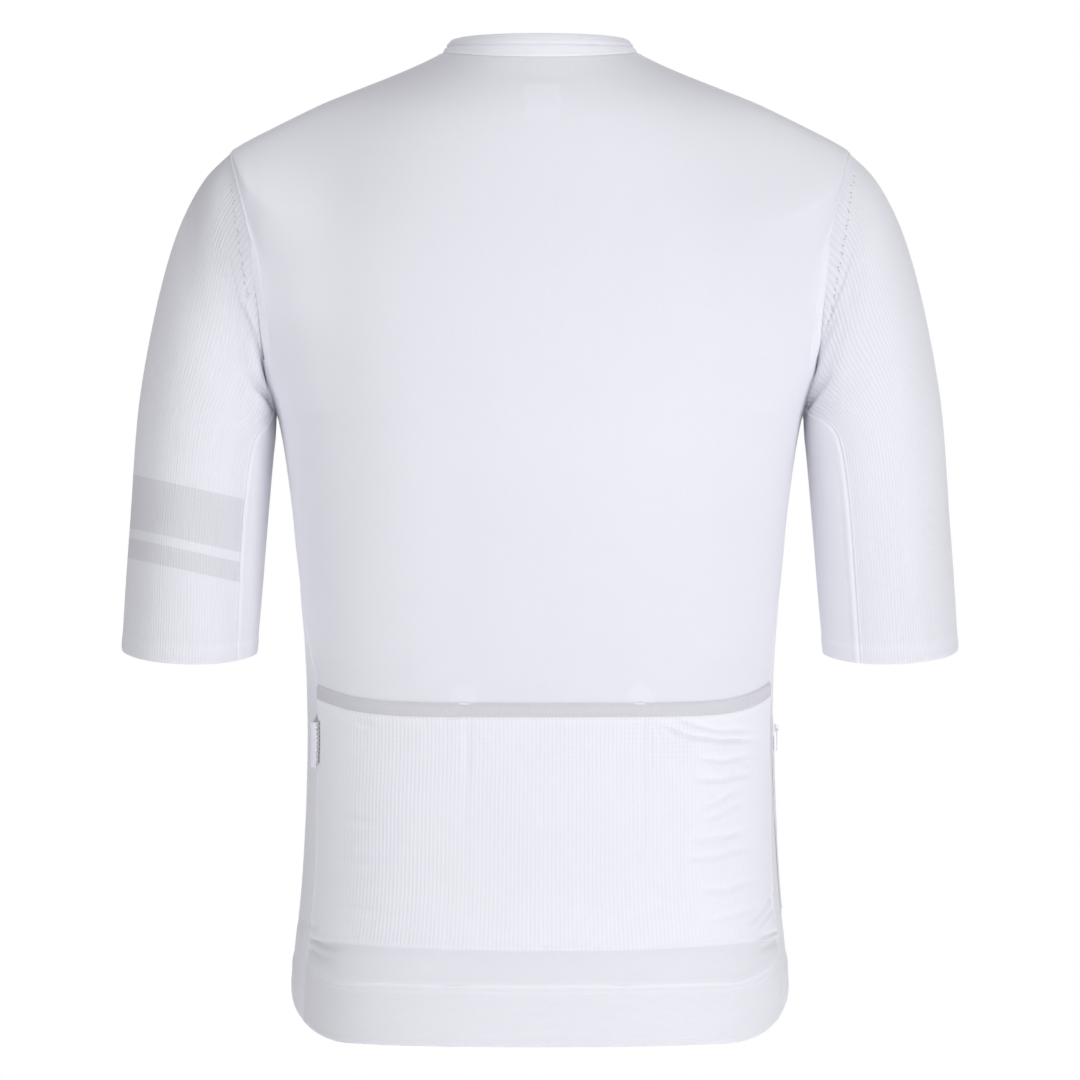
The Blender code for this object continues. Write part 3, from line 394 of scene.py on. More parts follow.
def grid_normals(points):
    across = np.gradient(points, axis=1)
    along = np.gradient(points, axis=0)
    return unit(np.cross(across, along))


def even_ends(count, press=0.6):
    """count steps from 0 to 1, finer towards both ends."""
    t = np.linspace(0, 1, count + 1)
    return t - press * np.sin(2 * np.pi * t) / (2 * np.pi)


def way(points, axis):
    """Distance run along the grid's rows (axis 1) or columns (axis 0)."""
    step = np.linalg.norm(np.diff(points, axis=axis), axis=-1)
    zero = np.zeros_like(step[:, :1] if axis == 1 else step[:1])
    return np.concatenate([zero, np.cumsum(step, axis=axis)], axis=axis)


# --------------------------------------------------------------- the folds
# Each fold is a soft trough (deep > 0) or ridge (deep < 0) along a path.
# "back" paths are in the view's pixels, "front" and "side" paths in mm: (x, z)
# and (y, z). "side_on" tips it: one side of the path rises, the other falls.
# "wide" is its half width, in the path's units, and "tip" the share of its
# length over which each end fades.
def fold(place, path, deep, wide, side_on=0.0, tip=0.3, on="both"):
    return {"place": place, "path": path, "deep": deep, "wide": wide, "side_on": side_on, "tip": tip, "on": on}


def along_path(px, py, path, tip):
    """(signed distance, end fade) of each point to a polyline."""
    path = np.asarray(path, float)
    lengths = np.hypot(*np.diff(path, axis=0).T)
    total, run = lengths.sum(), 0.0
    best = np.full(px.shape, 1e9)
    signed = np.zeros(px.shape)
    share = np.zeros(px.shape)
    for k in range(len(path) - 1):
        (ax, ay), (bx, by) = path[k], path[k + 1]
        length = lengths[k]
        t = np.clip(((px - ax) * (bx - ax) + (py - ay) * (by - ay)) / length ** 2, 0, 1)
        off = np.hypot(px - ax - t * (bx - ax), py - ay - t * (by - ay))
        sign = np.sign((bx - ax) * (py - ay) - (by - ay) * (px - ax))
        near = off < best
        best = np.where(near, off, best)
        signed = np.where(near, off * sign, signed)
        share = np.where(near, (run + t * length) / total, share)
        run += length
    fade = smoothstep(share / tip) * smoothstep((1 - share) / tip)
    return signed, fade


def pressed(points, normals, folds):
    """How far, in mm, the folds move each point out along its normal."""
    out = np.zeros(points.shape[:-1])
    px, py = seen(points)
    behind = smoothstep((normals[..., 1] + 0.12) / 0.3)
    before = smoothstep((-normals[..., 1] + 0.12) / 0.3)
    for f in folds:
        if f["place"] == "back":
            a, b, mask = px, py, behind
        elif f["place"] == "front":
            a, b, mask = points[..., 0], points[..., 2], before
        else:
            a, b = points[..., 1], points[..., 2]
            mask = smoothstep((normals[..., 0] * (1 if f["place"] == "left" else -1) + 0.1) / 0.4)
        path = np.asarray(f["path"], float)
        reach = 3.2 * f["wide"]
        near = (a > path[:, 0].min() - reach) & (a < path[:, 0].max() + reach)
        near &= (b > path[:, 1].min() - reach) & (b < path[:, 1].max() + reach) & (mask > 0.001)
        if not near.any():
            continue
        off, fade = along_path(a[near], b[near], path, f["tip"])
        s = off / f["wide"]
        shape = -f["deep"] * np.exp(-s * s)
        if f["side_on"]:
            shape = shape + f["side_on"] * 1.65 * s * np.exp(-s * s)
        out[near] += shape * fade * mask[near]
    return out


# ------------------------------------------------------------------- shells
PIECES = {}
MEASURES = {}
GRIDS = {}


def make_mesh(name, points_mm, faces, mat, uvs=None, tone=None, body=BODY, sharp=50):
    mesh = bpy.data.meshes.new(name)
    mesh.from_pydata((np.asarray(points_mm) * 0.001).tolist(), [], faces)
    mesh.update()
    mesh.shade_smooth()
    mesh.set_sharp_from_angle(angle=math.radians(sharp))
    if uvs:
        corner = np.empty(len(mesh.loops), np.int32)
        mesh.loops.foreach_get("vertex_index", corner)
        for key, value in uvs.items():
            layer = mesh.uv_layers.new(name=key)
            layer.data.foreach_set("uv", np.ascontiguousarray(value[corner], np.float32).ravel())
    if tone is not None:
        attribute = mesh.attributes.new("tone", "FLOAT", "POINT")
        attribute.data.foreach_set("value", np.ascontiguousarray(tone, np.float32))
    mesh.materials.append(mat)
    obj = bpy.data.objects.new(name, mesh)
    bpy.context.scene.collection.objects.link(obj)
    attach(obj, body)
    PIECES[name] = obj
    return obj


def edge_loop(rows, columns):
    loop = [(0, j) for j in range(columns)]
    loop += [(i, columns - 1) for i in range(1, rows)]
    loop += [(rows - 1, j) for j in range(columns - 2, -1, -1)]
    loop += [(i, 0) for i in range(rows - 2, 0, -1)]
    return loop


def shell(name, plain, normals, thickness, mat, lift=0.0, folds=(), relief=None, tone=None, rib=None, band=None, gap=0.04, replaces=None, roll=0.15, cut=True):
    """A closed cloth wall on a fine grid. plain is the form, relief what seams and ribs add to the outer face in mm."""
    rows, columns = plain.shape[:2]
    assert rows % 2 == 1 and columns % 2 == 1, name
    pushed = pressed(plain, normals, folds)
    base = plain + normals * (lift + pushed)[..., None] if np.ndim(pushed) else plain + normals * lift
    # the cut edges stay half a seam gap back
    hint = grid_normals(base)
    if np.sum(hint * normals) < 0:
        hint = -hint
    u = way(plain, 1)
    v = way(plain, 0)
    left, right = u, u[:, -1:] - u
    foot, head = v, v[-1:] - v
    nearest = np.minimum(np.minimum(left, right), np.minimum(foot, head))
    inward_u = unit(np.gradient(base, axis=1))
    inward_v = unit(np.gradient(base, axis=0))
    for edge, direction in (((slice(None), 0), inward_u), ((slice(None), -1), -inward_u), ((0, slice(None)), inward_v), ((-1, slice(None)), -inward_v)):
        base[edge] = base[edge] + direction[edge] * gap
    rolled = roll * np.exp(-((nearest / 0.8) ** 2))
    out = -rolled if relief is None else relief - rolled
    outer = base + hint * out[..., None]
    GRIDS[name] = (outer, hint, u, v)
    inner = (base - hint * (thickness - 0.5 * rolled)[..., None])[::2, ::2]
    r2, c2 = inner.shape[:2]
    count = rows * columns
    ij = np.arange(count).reshape(rows, columns)
    quads = np.stack([ij[:-1, :-1], ij[:-1, 1:], ij[1:, 1:], ij[1:, :-1]], -1).reshape(-1, 4)
    kl = count + np.arange(r2 * c2).reshape(r2, c2)
    back = np.stack([kl[:-1, :-1], kl[1:, :-1], kl[1:, 1:], kl[:-1, 1:]], -1).reshape(-1, 4)
    a, b, c = outer[rows // 2, columns // 2], outer[rows // 2, columns // 2 + 1], outer[rows // 2 + 1, columns // 2]
    flip = np.dot(np.cross(b - a, c - a), hint[rows // 2, columns // 2]) < 0
    if flip:
        quads, back = quads[:, ::-1], back[:, ::-1]
    faces = quads.tolist() + back.tolist()
    fine = [int(ij[i, j]) for i, j in edge_loop(rows, columns)]
    coarse = [int(kl[i, j]) for i, j in edge_loop(r2, c2)]
    assert len(fine) == 2 * len(coarse)
    for k, here in enumerate(coarse):
        there = coarse[(k + 1) % len(coarse)]
        face = [fine[2 * k], here, there, fine[(2 * k + 2) % len(fine)], fine[2 * k + 1]]
        faces.append(face[::-1] if flip else face)
    middle = (u - u[:, columns // 2][:, None])
    spread = v - v[rows // 2][None, :]
    # one run up the middle column keeps the courses level
    rise = np.broadcast_to(v[:, columns // 2][:, None], v.shape)
    cloth = np.stack([middle, 0.5 * (rise + v)], -1) * 0.001
    maps = {"cloth": cloth}
    if rib is not None:
        maps["rib"] = np.stack(np.broadcast_arrays(*rib), -1)
    if band is not None:
        maps["band"] = np.stack(band, -1)
    uvs = {key: np.concatenate([value.reshape(-1, 2), value[::2, ::2].reshape(-1, 2)]) for key, value in maps.items()}
    if tone is None:
        tone = np.zeros((rows, columns))
    tones = np.concatenate([tone.ravel(), tone[::2, ::2].ravel()])
    obj = make_mesh(name, np.concatenate([outer.reshape(-1, 3), inner.reshape(-1, 3)]), faces, mat, uvs, tones)
    for node in replaces or ():
        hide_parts(node)
    if cut:
        d1 = plain[1:, 1:] - plain[:-1, :-1]
        d2 = plain[1:, :-1] - plain[:-1, 1:]
        area = 0.5 * np.linalg.norm(np.cross(d1, d2), axis=-1).sum() * 1e-6
        width, length = float(u[:, -1].max()) * 0.001, float(v[-1].max()) * 0.001
        area = min(area, width * length)
        MEASURES[name] = (round(width, 3), round(length, 3), round(float(area), 4))
    return obj


def plateau(distance, wide, soft=0.9):
    """1 from the edge to wide, then a soft step down."""
    return 1 - smoothstep((distance - wide + soft) / (2 * soft))


def bump_at(distance, at, wide):
    return np.exp(-(((distance - at) / wide) ** 2))


# ---------------------------------------------------------------- materials
class Nodes:
    """Short names for building a node tree."""

    def __init__(self, name):
        self.mat = bpy.data.materials.new(name)
        self.mat.use_nodes = True
        self.tree = self.mat.node_tree
        self.shader = self.tree.nodes["Principled BSDF"]

    def new(self, kind, **settings):
        made = self.tree.nodes.new(kind)
        for key, value in settings.items():
            setattr(made, key, value)
        return made

    def put(self, socket, value):
        if isinstance(value, bpy.types.NodeSocket):
            self.tree.links.new(value, socket)
        else:
            socket.default_value = value

    def math(self, operation, a, b=None, clamp=False):
        made = self.new("ShaderNodeMath", operation=operation, use_clamp=clamp)
        self.put(made.inputs[0], a)
        if b is not None:
            self.put(made.inputs[1], b)
        return made.outputs[0]

    def add(self, a, b):
        return self.math("ADD", a, b)

    def mul(self, a, b):
        return self.math("MULTIPLY", a, b)

    def sin(self, a):
        return self.math("SINE", a)

    def mad(self, a, b, c, clamp=False):
        made = self.new("ShaderNodeMath", operation="MULTIPLY_ADD", use_clamp=clamp)
        for socket, value in zip(made.inputs, (a, b, c)):
            self.put(socket, value)
        return made.outputs[0]

    def cycle(self, a, sharp=1.0):
        """0 at whole numbers, 1 half way between."""
        wave = self.mad(self.sin(self.mad(a, 2 * math.pi, -math.pi / 2)), 0.5, 0.5)
        return wave if sharp == 1.0 else self.math("POWER", wave, sharp)

    def uv(self, key):
        made = self.new("ShaderNodeUVMap", uv_map=key)
        split = self.new("ShaderNodeSeparateXYZ")
        self.tree.links.new(made.outputs[0], split.inputs[0])
        return split.outputs[0], split.outputs[1]

    def tone(self):
        made = self.new("ShaderNodeAttribute", attribute_name="tone")
        return made.outputs["Fac"]

    def noise(self, scale, detail=2.0, rough=0.5):
        place = self.new("ShaderNodeTexCoord")
        made = self.new("ShaderNodeTexNoise")
        self.tree.links.new(place.outputs["Object"], made.inputs["Vector"])
        made.inputs["Scale"].default_value = scale
        made.inputs["Detail"].default_value = detail
        made.inputs["Roughness"].default_value = rough
        return self.math("SUBTRACT", made.outputs["Fac"], 0.5)

    def colour(self, rgb, factor):
        """The base colour times a number."""
        made = self.new("ShaderNodeVectorMath", operation="SCALE")
        made.inputs[0].default_value = rgb
        self.put(made.inputs["Scale"], factor)
        self.tree.links.new(made.outputs[0], self.shader.inputs["Base Color"])

    def bump(self, height, distance, strength=1.0, under=None):
        made = self.new("ShaderNodeBump")
        made.inputs["Strength"].default_value = strength
        made.inputs["Distance"].default_value = distance
        self.put(made.inputs["Height"], height)
        if under is not None:
            self.tree.links.new(under, made.inputs["Normal"])
        self.tree.links.new(made.outputs[0], self.shader.inputs["Normal"])
        return made.outputs[0]

    def cloth(self, rough=0.85, sheen=0.25):
        self.shader.inputs["Roughness"].default_value = rough
        self.shader.inputs["Specular IOR Level"].default_value = 0.25
        self.shader.inputs["Sheen Weight"].default_value = sheen
        self.shader.inputs["Sheen Roughness"].default_value = 0.5
        return self.mat


WHITE = (0.775, 0.775, 0.838)


def knit_material(name, rgb, pitch=1.2, contrast=0.014, wear=0.02, rough=0.85):
    """Fine plain knit: wales down the cloth, courses across it."""
    n = Nodes(name)
    u, v = n.uv("cloth")
    wale = n.cycle(n.mul(u, 1000 / pitch), 0.7)
    course = n.cycle(n.mul(v, 1000 / (pitch * 0.8)))
    height = n.add(n.mul(wale, 0.7), n.mul(n.mul(wale, course), 0.5))
    broad, fibre = n.noise(7.0), n.noise(700.0, 3.0)
    factor = n.add(n.add(1.0, n.mul(n.math("SUBTRACT", height, 0.6), contrast)), n.add(n.mul(broad, wear), n.mul(fibre, 0.03)))
    n.colour(rgb, n.mul(factor, n.add(1.0, n.tone())))
    n.bump(n.add(height, n.mul(fibre, 0.5)), 0.0001, 0.35)
    return n.cloth(rough)


def rib_material(name, rgb, open_mesh=0.10, groove_dark=0.045, banded=False, faded=False, rough=0.88):
    """Ribbed mesh: raised ribs, darker grooves, partly painted shade and partly the open mesh showing through, small
    bars across the grooves.
    The "band" layer holds mm below the stripes, or how far the ribs stand, and how open the mesh is."""
    n = Nodes(name)
    across, along = n.uv("rib")
    down, openness = n.uv("band")
    groove = n.cycle(across, 1.6)
    if faded:
        groove = n.mul(groove, down)
    bar = n.cycle(along, 1.2)
    patch = n.mad(n.noise(22.0, 3.0), 2.2, 0.62, clamp=True)
    hole = n.mul(n.mul(n.mul(groove, bar), patch), openness)
    broad, fibre = n.noise(7.0), n.noise(600.0, 3.0)
    # painted shade in the grooves, part of it the mesh showing through
    factor = n.add(1.0 + groove_dark * 0.4, n.mul(groove, -groove_dark))
    factor = n.add(factor, n.mul(hole, -open_mesh))
    factor = n.add(factor, n.add(n.mul(broad, 0.02), n.mul(fibre, 0.04)))
    factor = n.mul(factor, n.add(1.0, n.tone()))
    if banded:
        # two printed stripes of one grey round the sleeve, in mm below the upper edge
        inside = None
        for start, end in banded:
            one = n.mul(n.math("GREATER_THAN", down, start), n.math("LESS_THAN", down, end))
            inside = one if inside is None else n.add(inside, one)
        factor = n.mul(factor, n.add(1.0, n.mul(inside, -0.135)))
    n.colour(rgb, factor)
    height = n.add(n.mul(hole, -1.0), n.mul(fibre, 0.35))
    n.bump(height, 0.00018, 0.5)
    return n.cloth(rough)


def band_material(name, rgb, pitch=1.5, across=True, contrast=0.05, rough=0.75):
    """Flat woven elastic or tape with fine cords."""
    n = Nodes(name)
    u, v = n.uv("cloth")
    cord = n.cycle(n.mul(u if across else v, 1000 / pitch), 0.8)
    weft = n.cycle(n.mul(v if across else u, 1000 / 0.7))
    fibre = n.noise(900.0, 3.0)
    factor = n.add(n.add(1.0, n.mul(n.math("SUBTRACT", cord, 0.5), contrast)), n.add(n.mul(fibre, 0.05), n.mul(n.noise(9.0), 0.02)))
    n.colour(rgb, n.mul(factor, n.add(1.0, n.tone())))
    n.bump(n.add(cord, n.mul(weft, 0.4)), 0.0001, 0.7)
    return n.cloth(rough, 0.15)


def thread_material(name, rgb):
    n = Nodes(name)
    n.colour(rgb, n.add(1.0, n.mul(n.noise(1500.0, 2.0), 0.08)))
    n.bump(n.noise(2500.0, 2.0), 0.00005, 0.5)
    return n.cloth(0.6, 0.2)


def plastic_material(name, rgb, rough=0.38):
    n = Nodes(name)
    fine = n.noise(260.0, 4.0, 0.6)
    n.colour(rgb, n.add(1.0, n.mul(n.noise(60.0, 2.0), 0.05)))
    n.bump(fine, 0.00004, 0.4)
    n.put(n.shader.inputs["Roughness"], n.add(rough, n.mul(fine, 0.12)))
    n.shader.inputs["Specular IOR Level"].default_value = 0.45
    return n.mat


KNIT = knit_material("fine_knit", WHITE)
STAND = knit_material("collar_knit", tuple(c * 1.035 for c in WHITE), pitch=1.0)
UNDER = knit_material("under_knit", (0.785, 0.785, 0.840), pitch=1.0, contrast=0.025)
RIB = rib_material("rib_mesh", tuple(c * 0.985 for c in WHITE), groove_dark=0.06)
RIB_BAND = rib_material("rib_mesh_striped", tuple(c * 0.985 for c in WHITE), groove_dark=0.06, banded=((0.0, 36.0), (42.5, 56.0)))
POCKET = rib_material("pocket_rib", tuple(c * 1.045 for c in WHITE), open_mesh=0.06, groove_dark=0.04, faded=True)
ELASTIC = band_material("grey_elastic", (0.630, 0.624, 0.680), pitch=2.2, contrast=0.025)
HEM = band_material("hem_elastic", tuple(c * 1.0 for c in WHITE), pitch=1.4, across=False, contrast=0.01)
BINDING = band_material("collar_binding", tuple(c * 1.05 for c in WHITE), pitch=1.2, across=False, contrast=0.03)
RIBBON = band_material("ribbon", tuple(c * 1.1 for c in WHITE), pitch=0.9, contrast=0.06)
# zip tape, a little lighter than the cloth, partly painted light to lift its sideways face out of shade
TAPE = band_material("zip_tape", tuple(c * 1.06 for c in WHITE), pitch=0.9, contrast=0.05)
THREAD = thread_material("thread", tuple(c * 1.05 for c in WHITE))
SHADE_THREAD = thread_material("grey_thread", tuple(c * 0.82 for c in WHITE))
GAP_SHADE_THREAD = thread_material("rib_gap_shade", tuple(c * 0.6 for c in WHITE))
ZIP = plastic_material("zip_plastic", tuple(c * 1.02 for c in WHITE))


# ---------------------------------------------------- fold tables, by panel
BACK_FOLDS = (
    # long soft drags down the back, from the shoulder blades to the waist
    fold("back", [(330, 250), (345, 400), (352, 560)], 0.9, 30),
    fold("back", [(455, 300), (450, 470), (462, 650)], 0.6, 34),
    fold("back", [(620, 280), (640, 470), (636, 640)], 0.7, 36),
    fold("back", [(742, 250), (735, 400), (728, 580)], 0.9, 30),
    # from the armholes towards the middle
    fold("back", [(268, 330), (300, 352), (352, 368)], 0.8, 9, tip=0.35),
    fold("back", [(278, 400), (308, 412), (352, 415)], 0.7, 8, tip=0.35),
    fold("back", [(812, 330), (780, 350), (735, 362)], 0.8, 9, tip=0.35),
    fold("back", [(802, 398), (770, 410), (728, 416)], 0.8, 8, tip=0.35),
    # at the collar
    fold("back", [(470, 62), (500, 72), (560, 76), (610, 66)], 0.5, 5),
    # waist, above the pockets
    fold("back", [(308, 640), (345, 660), (420, 668)], 0.7, 9),
    fold("back", [(772, 636), (735, 656), (670, 664)], 0.8, 9),
    fold("back", [(312, 560), (340, 585), (400, 600)], 0.5, 10),
    fold("back", [(770, 566), (738, 588), (690, 600)], 0.5, 10),
)
LOW_FOLDS = (
    # the corners over the hem's ends
    fold("back", [(298, 926), (306, 935), (322, 945), (345, 952)], 1.4, 3.6, side_on=0.6, tip=0.4),
    fold("back", [(299, 940), (307, 948), (320, 957), (338, 964)], 1.7, 3.2, side_on=0.6, tip=0.4),
    fold("back", [(296, 915), (306, 924), (322, 930)], 1.4, 4.0, tip=0.3),
    fold("back", [(778, 934), (773, 914), (768, 884)], 1.1, 2.0, side_on=-0.4, tip=0.3),
    fold("back", [(742, 932), (761, 912), (780, 884)], 1.2, 2.2, side_on=0.5, tip=0.35),
    fold("back", [(752, 935), (765, 919), (780, 900)], 0.9, 1.8, side_on=0.4, tip=0.35),
    fold("back", [(754, 939), (768, 936), (782, 929)], 1.9, 2.2, side_on=0.6, tip=0.35),
    fold("back", [(754, 954), (770, 946), (786, 935)], 1.4, 3.6, side_on=0.5, tip=0.4),
    # across the plain strip under the pockets
    fold("back", [(420, 958), (440, 974), (470, 980)], 0.5, 6),
    fold("back", [(655, 960), (640, 972), (612, 980)], 0.5, 6),
)
POCKET_FOLDS = (
    # the wearer's right pocket, pulled towards its top corner and the side seam
    fold("back", [(650, 718), (668, 728), (689, 737), (722, 741), (766, 740)], 1.7, 3.0, side_on=0.7, tip=0.25),
    fold("back", [(647, 717), (649, 740), (651, 775)], 0.9, 2.8, side_on=0.3, tip=0.3),
    fold("back", [(654, 719), (664, 738), (668, 760)], 0.8, 2.8, side_on=0.4, tip=0.3),
    fold("back", [(665, 714), (691, 724), (716, 731), (763, 731)], 1.1, 3.0, side_on=0.5, tip=0.3),
    fold("back", [(690, 758), (722, 762), (757, 754)], 1.3, 3.6, side_on=0.7),
    fold("back", [(684, 780), (720, 781), (758, 772)], 1.3, 3.4, side_on=0.7),
    fold("back", [(695, 812), (716, 803), (744, 785)], 1.2, 2.8, side_on=0.6),
    fold("back", [(700, 824), (722, 814), (750, 798)], 1.0, 2.6, side_on=0.5),
    fold("back", [(706, 852), (750, 824)], 0.7, 3.0, side_on=0.35, tip=0.45),
    fold("back", [(728, 776), (738, 768), (752, 762)], 0.7, 2.6, side_on=0.4),
    fold("back", [(672, 842), (706, 840), (734, 835), (758, 827)], 1.1, 4.2, side_on=0.45, tip=0.4),
    fold("back", [(672, 860), (712, 858), (760, 845)], 1.1, 4.0, side_on=0.6),
    fold("back", [(690, 892), (726, 890), (764, 876)], 1.0, 4.4, side_on=0.3),
    fold("back", [(700, 926), (734, 915), (768, 902)], 1.0, 4.6, side_on=0.3),
    # the left pocket, fainter
    fold("back", [(322, 700), (344, 716), (380, 730)], 0.9, 4.4, side_on=0.25),
    fold("back", [(326, 812), (352, 821), (392, 826)], 0.26, 5.0, tip=0.5),
    fold("back", [(324, 858), (356, 864), (404, 866)], 0.24, 6.0, tip=0.5),
    fold("back", [(322, 902), (352, 910), (402, 914)], 0.3, 6.0, tip=0.5),
    fold("back", [(436, 722), (452, 716), (466, 712)], 0.6, 3.4),
    fold("back", [(664, 722), (650, 716), (640, 712)], 0.6, 3.4),
    # the middle pocket hangs a little proud of its two stitched lines
    fold("back", [(468, 712), (468, 740), (468, 800)], 0.5, 3.2, tip=0.3),
    fold("back", [(641, 712), (640, 740), (640, 800)], 0.5, 3.2, tip=0.3),
    fold("back", [(553, 722), (552, 820), (553, 940)], -1.0, 52, tip=0.2),
    fold("back", [(392, 724), (390, 820), (386, 936)], -0.8, 44, tip=0.2),
    fold("back", [(705, 722), (708, 820), (712, 936)], -0.8, 40, tip=0.2),
)
FRONT_FOLDS = (
    # drags from the armholes to the zip, and round the waist, (x, z)
    fold("front", [(170, -205), (130, -222), (78, -226)], 2.1, 9, side_on=0.4),
    fold("front", [(168, -232), (126, -256), (70, -268)], 1.6, 10, side_on=0.3),
    fold("front", [(-172, -200), (-132, -214), (-84, -216)], 1.9, 9, side_on=-0.4),
    fold("front", [(-168, -236), (-122, -262), (-62, -270)], 1.8, 10, side_on=-0.3),
    fold("front", [(150, -398), (100, -420), (32, -424)], 1.9, 11, side_on=0.3),
    fold("front", [(152, -446), (96, -462), (40, -458)], 1.4, 9),
    fold("front", [(-150, -404), (-98, -428), (-30, -436)], 2.1, 11, side_on=-0.3),
    fold("front", [(-152, -470), (-104, -488), (-48, -482)], 1.4, 9),
    fold("front", [(148, -520), (110, -541), (60, -548)], 1.3, 10),
    fold("front", [(-150, -530), (-118, -552), (-66, -560)], 1.3, 10),
    # the zip buckles gently
    fold("front", [(6, -330), (26, -341), (52, -336)], 1.4, 9),
    fold("front", [(-6, -352), (-28, -366), (-58, -360)], 1.4, 9),
    fold("front", [(5, -498), (24, -510), (48, -507)], 1.4, 9),
    fold("front", [(-5, -520), (-22, -531), (-50, -527)], 1.3, 9),
    fold("front", [(5, -190), (28, -176), (60, -170)], 1.0, 11),
    fold("front", [(-5, -170), (-30, -158), (-66, -156)], 1.0, 11),
    # the sides under the arms, (y, z)
    fold("left", [(-40, -286), (0, -300), (42, -296)], 1.4, 9),
    fold("left", [(-44, -338), (-2, -346), (36, -340)], 1.1, 10),
    fold("right", [(-42, -292), (-2, -306), (40, -300)], 1.4, 9),
    fold("right", [(-40, -350), (0, -356), (38, -346)], 1.1, 10),
)
SLEEVE_DRAGS = {
    "left": (
        # the crease from the shoulder down to the armpit, and what follows it
        fold("back", [(236, 292), (247, 318), (258, 345), (268, 376), (276, 402)], 1.5, 3.6, side_on=-0.9, tip=0.35),
        fold("back", [(214, 258), (228, 278), (240, 302), (250, 326)], 0.5, 5.0, side_on=-0.5, tip=0.4),
        fold("back", [(236, 330), (252, 362), (268, 396)], 0.7, 5.0, tip=0.4),
        fold("back", [(238, 372), (252, 384), (268, 398)], 0.9, 4.0, tip=0.4),
        fold("back", [(204, 360), (226, 384), (250, 398)], 0.5, 8.0),
        fold("back", [(150, 430), (180, 452), (222, 458)], 0.4, 11.0),
        fold("back", [(232, 650), (243, 646), (252, 640)], 0.9, 2.4),
        fold("front", [(250, -120), (226, -170), (196, -212)], 1.2, 9.0, side_on=-0.4),
        fold("front", [(262, -190), (236, -224), (206, -240)], 0.8, 9.0),
    ),
    "right": (
        fold("back", [(842, 300), (832, 322), (822, 348), (812, 372), (804, 394)], 1.7, 3.8, side_on=1.0, tip=0.35),
        fold("back", [(862, 255), (850, 280), (840, 306)], 0.6, 5.0, side_on=0.5, tip=0.4),
        fold("back", [(846, 330), (832, 358), (816, 384)], 0.8, 5.0, tip=0.4),
        fold("back", [(842, 372), (830, 380), (814, 390)], 0.9, 4.0, tip=0.4),
        fold("back", [(880, 350), (856, 376), (834, 392)], 0.5, 8.0),
        fold("back", [(930, 440), (900, 456), (862, 462)], 0.4, 11.0),
        fold("front", [(-252, -124), (-228, -172), (-198, -214)], 1.2, 9.0, side_on=0.4),
        fold("front", [(-264, -200), (-238, -230), (-208, -243)], 0.8, 9.0),
    ),
}


# The sleeve's cap turns under along this line beside the armhole, in the
# view's pixels; a soft roll lies along its outer side.
CAP_CREASE = {
    "left": [(222, 232), (230, 262), (237, 296), (252, 330), (261, 352), (270, 389), (277, 405)],
    "right": [(860, 225), (853, 252), (843, 284), (827, 327), (819, 350), (811, 378), (804, 402)],
}


def cap_crease(side, px, py, normal, relief, tone):
    behind = smoothstep((normal[..., 1] + 0.1) / 0.3)
    near = (py > 180) & (py < 440) & (behind > 0)
    off, fade = along_path(px[near], py[near], CAP_CREASE[side], 0.28)
    inner = off * (-1.0 if side == "left" else 1.0)      # grows towards the armhole
    deep = np.interp(py[near], [225, 300, 350, 400], [0.2, 0.6, 0.95, 0.95])
    roll = np.exp(-((inner + 6.0) / 5.0) ** 2) * 0.9
    groove = -1.5 * np.exp(-((inner - 0.6) / 1.7) ** 2)
    step = -0.7 * smoothstep((inner + 1.5) / 4.0) * np.exp(-np.maximum(inner - 2.5, 0) / 9.0)
    add = np.zeros_like(relief)
    add[near] = (roll + groove + step) * deep * fade * behind[near]
    # painted shade in the crease's groove
    dark = np.zeros_like(tone)
    dark[near] = -0.05 * np.exp(-((inner - 0.8) / 1.6) ** 2) * deep * fade * behind[near]
    return relief + add, tone + dark


# ------------------------------------------------------------ the body, laid out
def mirrored(points):
    return points * np.array([-1.0, 1.0, 1.0])


def seam_ends(level_of):
    left_angle, right_angle = 0.3, math.pi - 0.25
    for _ in range(7):
        left_angle = float(side_angle(level_of(np.array(left_angle)), "left"))
        right_angle = math.pi - float(side_angle(level_of(np.array(right_angle)), "right"))
    return left_angle, right_angle


TOP_ENDS = seam_ends(lambda th: hem_level(th) + HEM_BAND)


def fine_rows(level_of_rows, s):
    theta, level = [], []
    for level_of in level_of_rows:
        a, b = seam_ends(level_of)
        row = a + (b - a) * s
        theta.append(row)
        level.append(level_of(row))
    return np.array(theta), np.array(level)


def between(low, high, t):
    return lambda th: (1 - t) * low(th) + t * high(th)


def strip_level(height):
    return lambda th: height + 0 * np.asarray(th, float)


def band_top(th):
    return hem_level(th) + HEM_BAND


def band_low(th):
    return pocket_mouth(th) - POCKET_BAND


def back_fine(columns=216, low_rows=126, mid_rows=58, hole_rows=84, neck_rows=56):
    s = even_ends(columns)
    low = [between(band_top, strip_level(FLAT_LEVEL), t) for t in np.linspace(0, 1, low_rows + 1)[:-1]]
    low += [strip_level(FLAT_LEVEL + (UNDERARM - FLAT_LEVEL) * t) for t in np.linspace(0, 1, mid_rows + 1)[:-1]]
    theta, level = fine_rows(low, s)
    hole_angle, hole_level = armhole(np.radians(180 * (1 - even_ends(hole_rows, 0.3))))
    bulge = np.sin(np.pi * s) ** 0.5
    even = UNDERARM + (SHOULDER_TIP - UNDERARM) * np.linspace(0, 1, hole_rows + 1)
    theta_h = hole_angle[:, None] + (math.pi - 2 * hole_angle[:, None]) * s[None, :]
    level_h = hole_level[:, None] + (even - hole_level)[:, None] * bulge[None, :]
    top = SHOULDER_TIP * (1 - np.linspace(0, 1, neck_rows + 1)[1:])
    left = side_angle(top, "left")
    theta_n = left[:, None] + (math.pi - 2 * left[:, None]) * s[None, :]
    level_n = top[:, None] + 0 * theta_n
    return np.concatenate([theta, theta_h, theta_n]), np.concatenate([level, level_h, level_n]), len(theta)


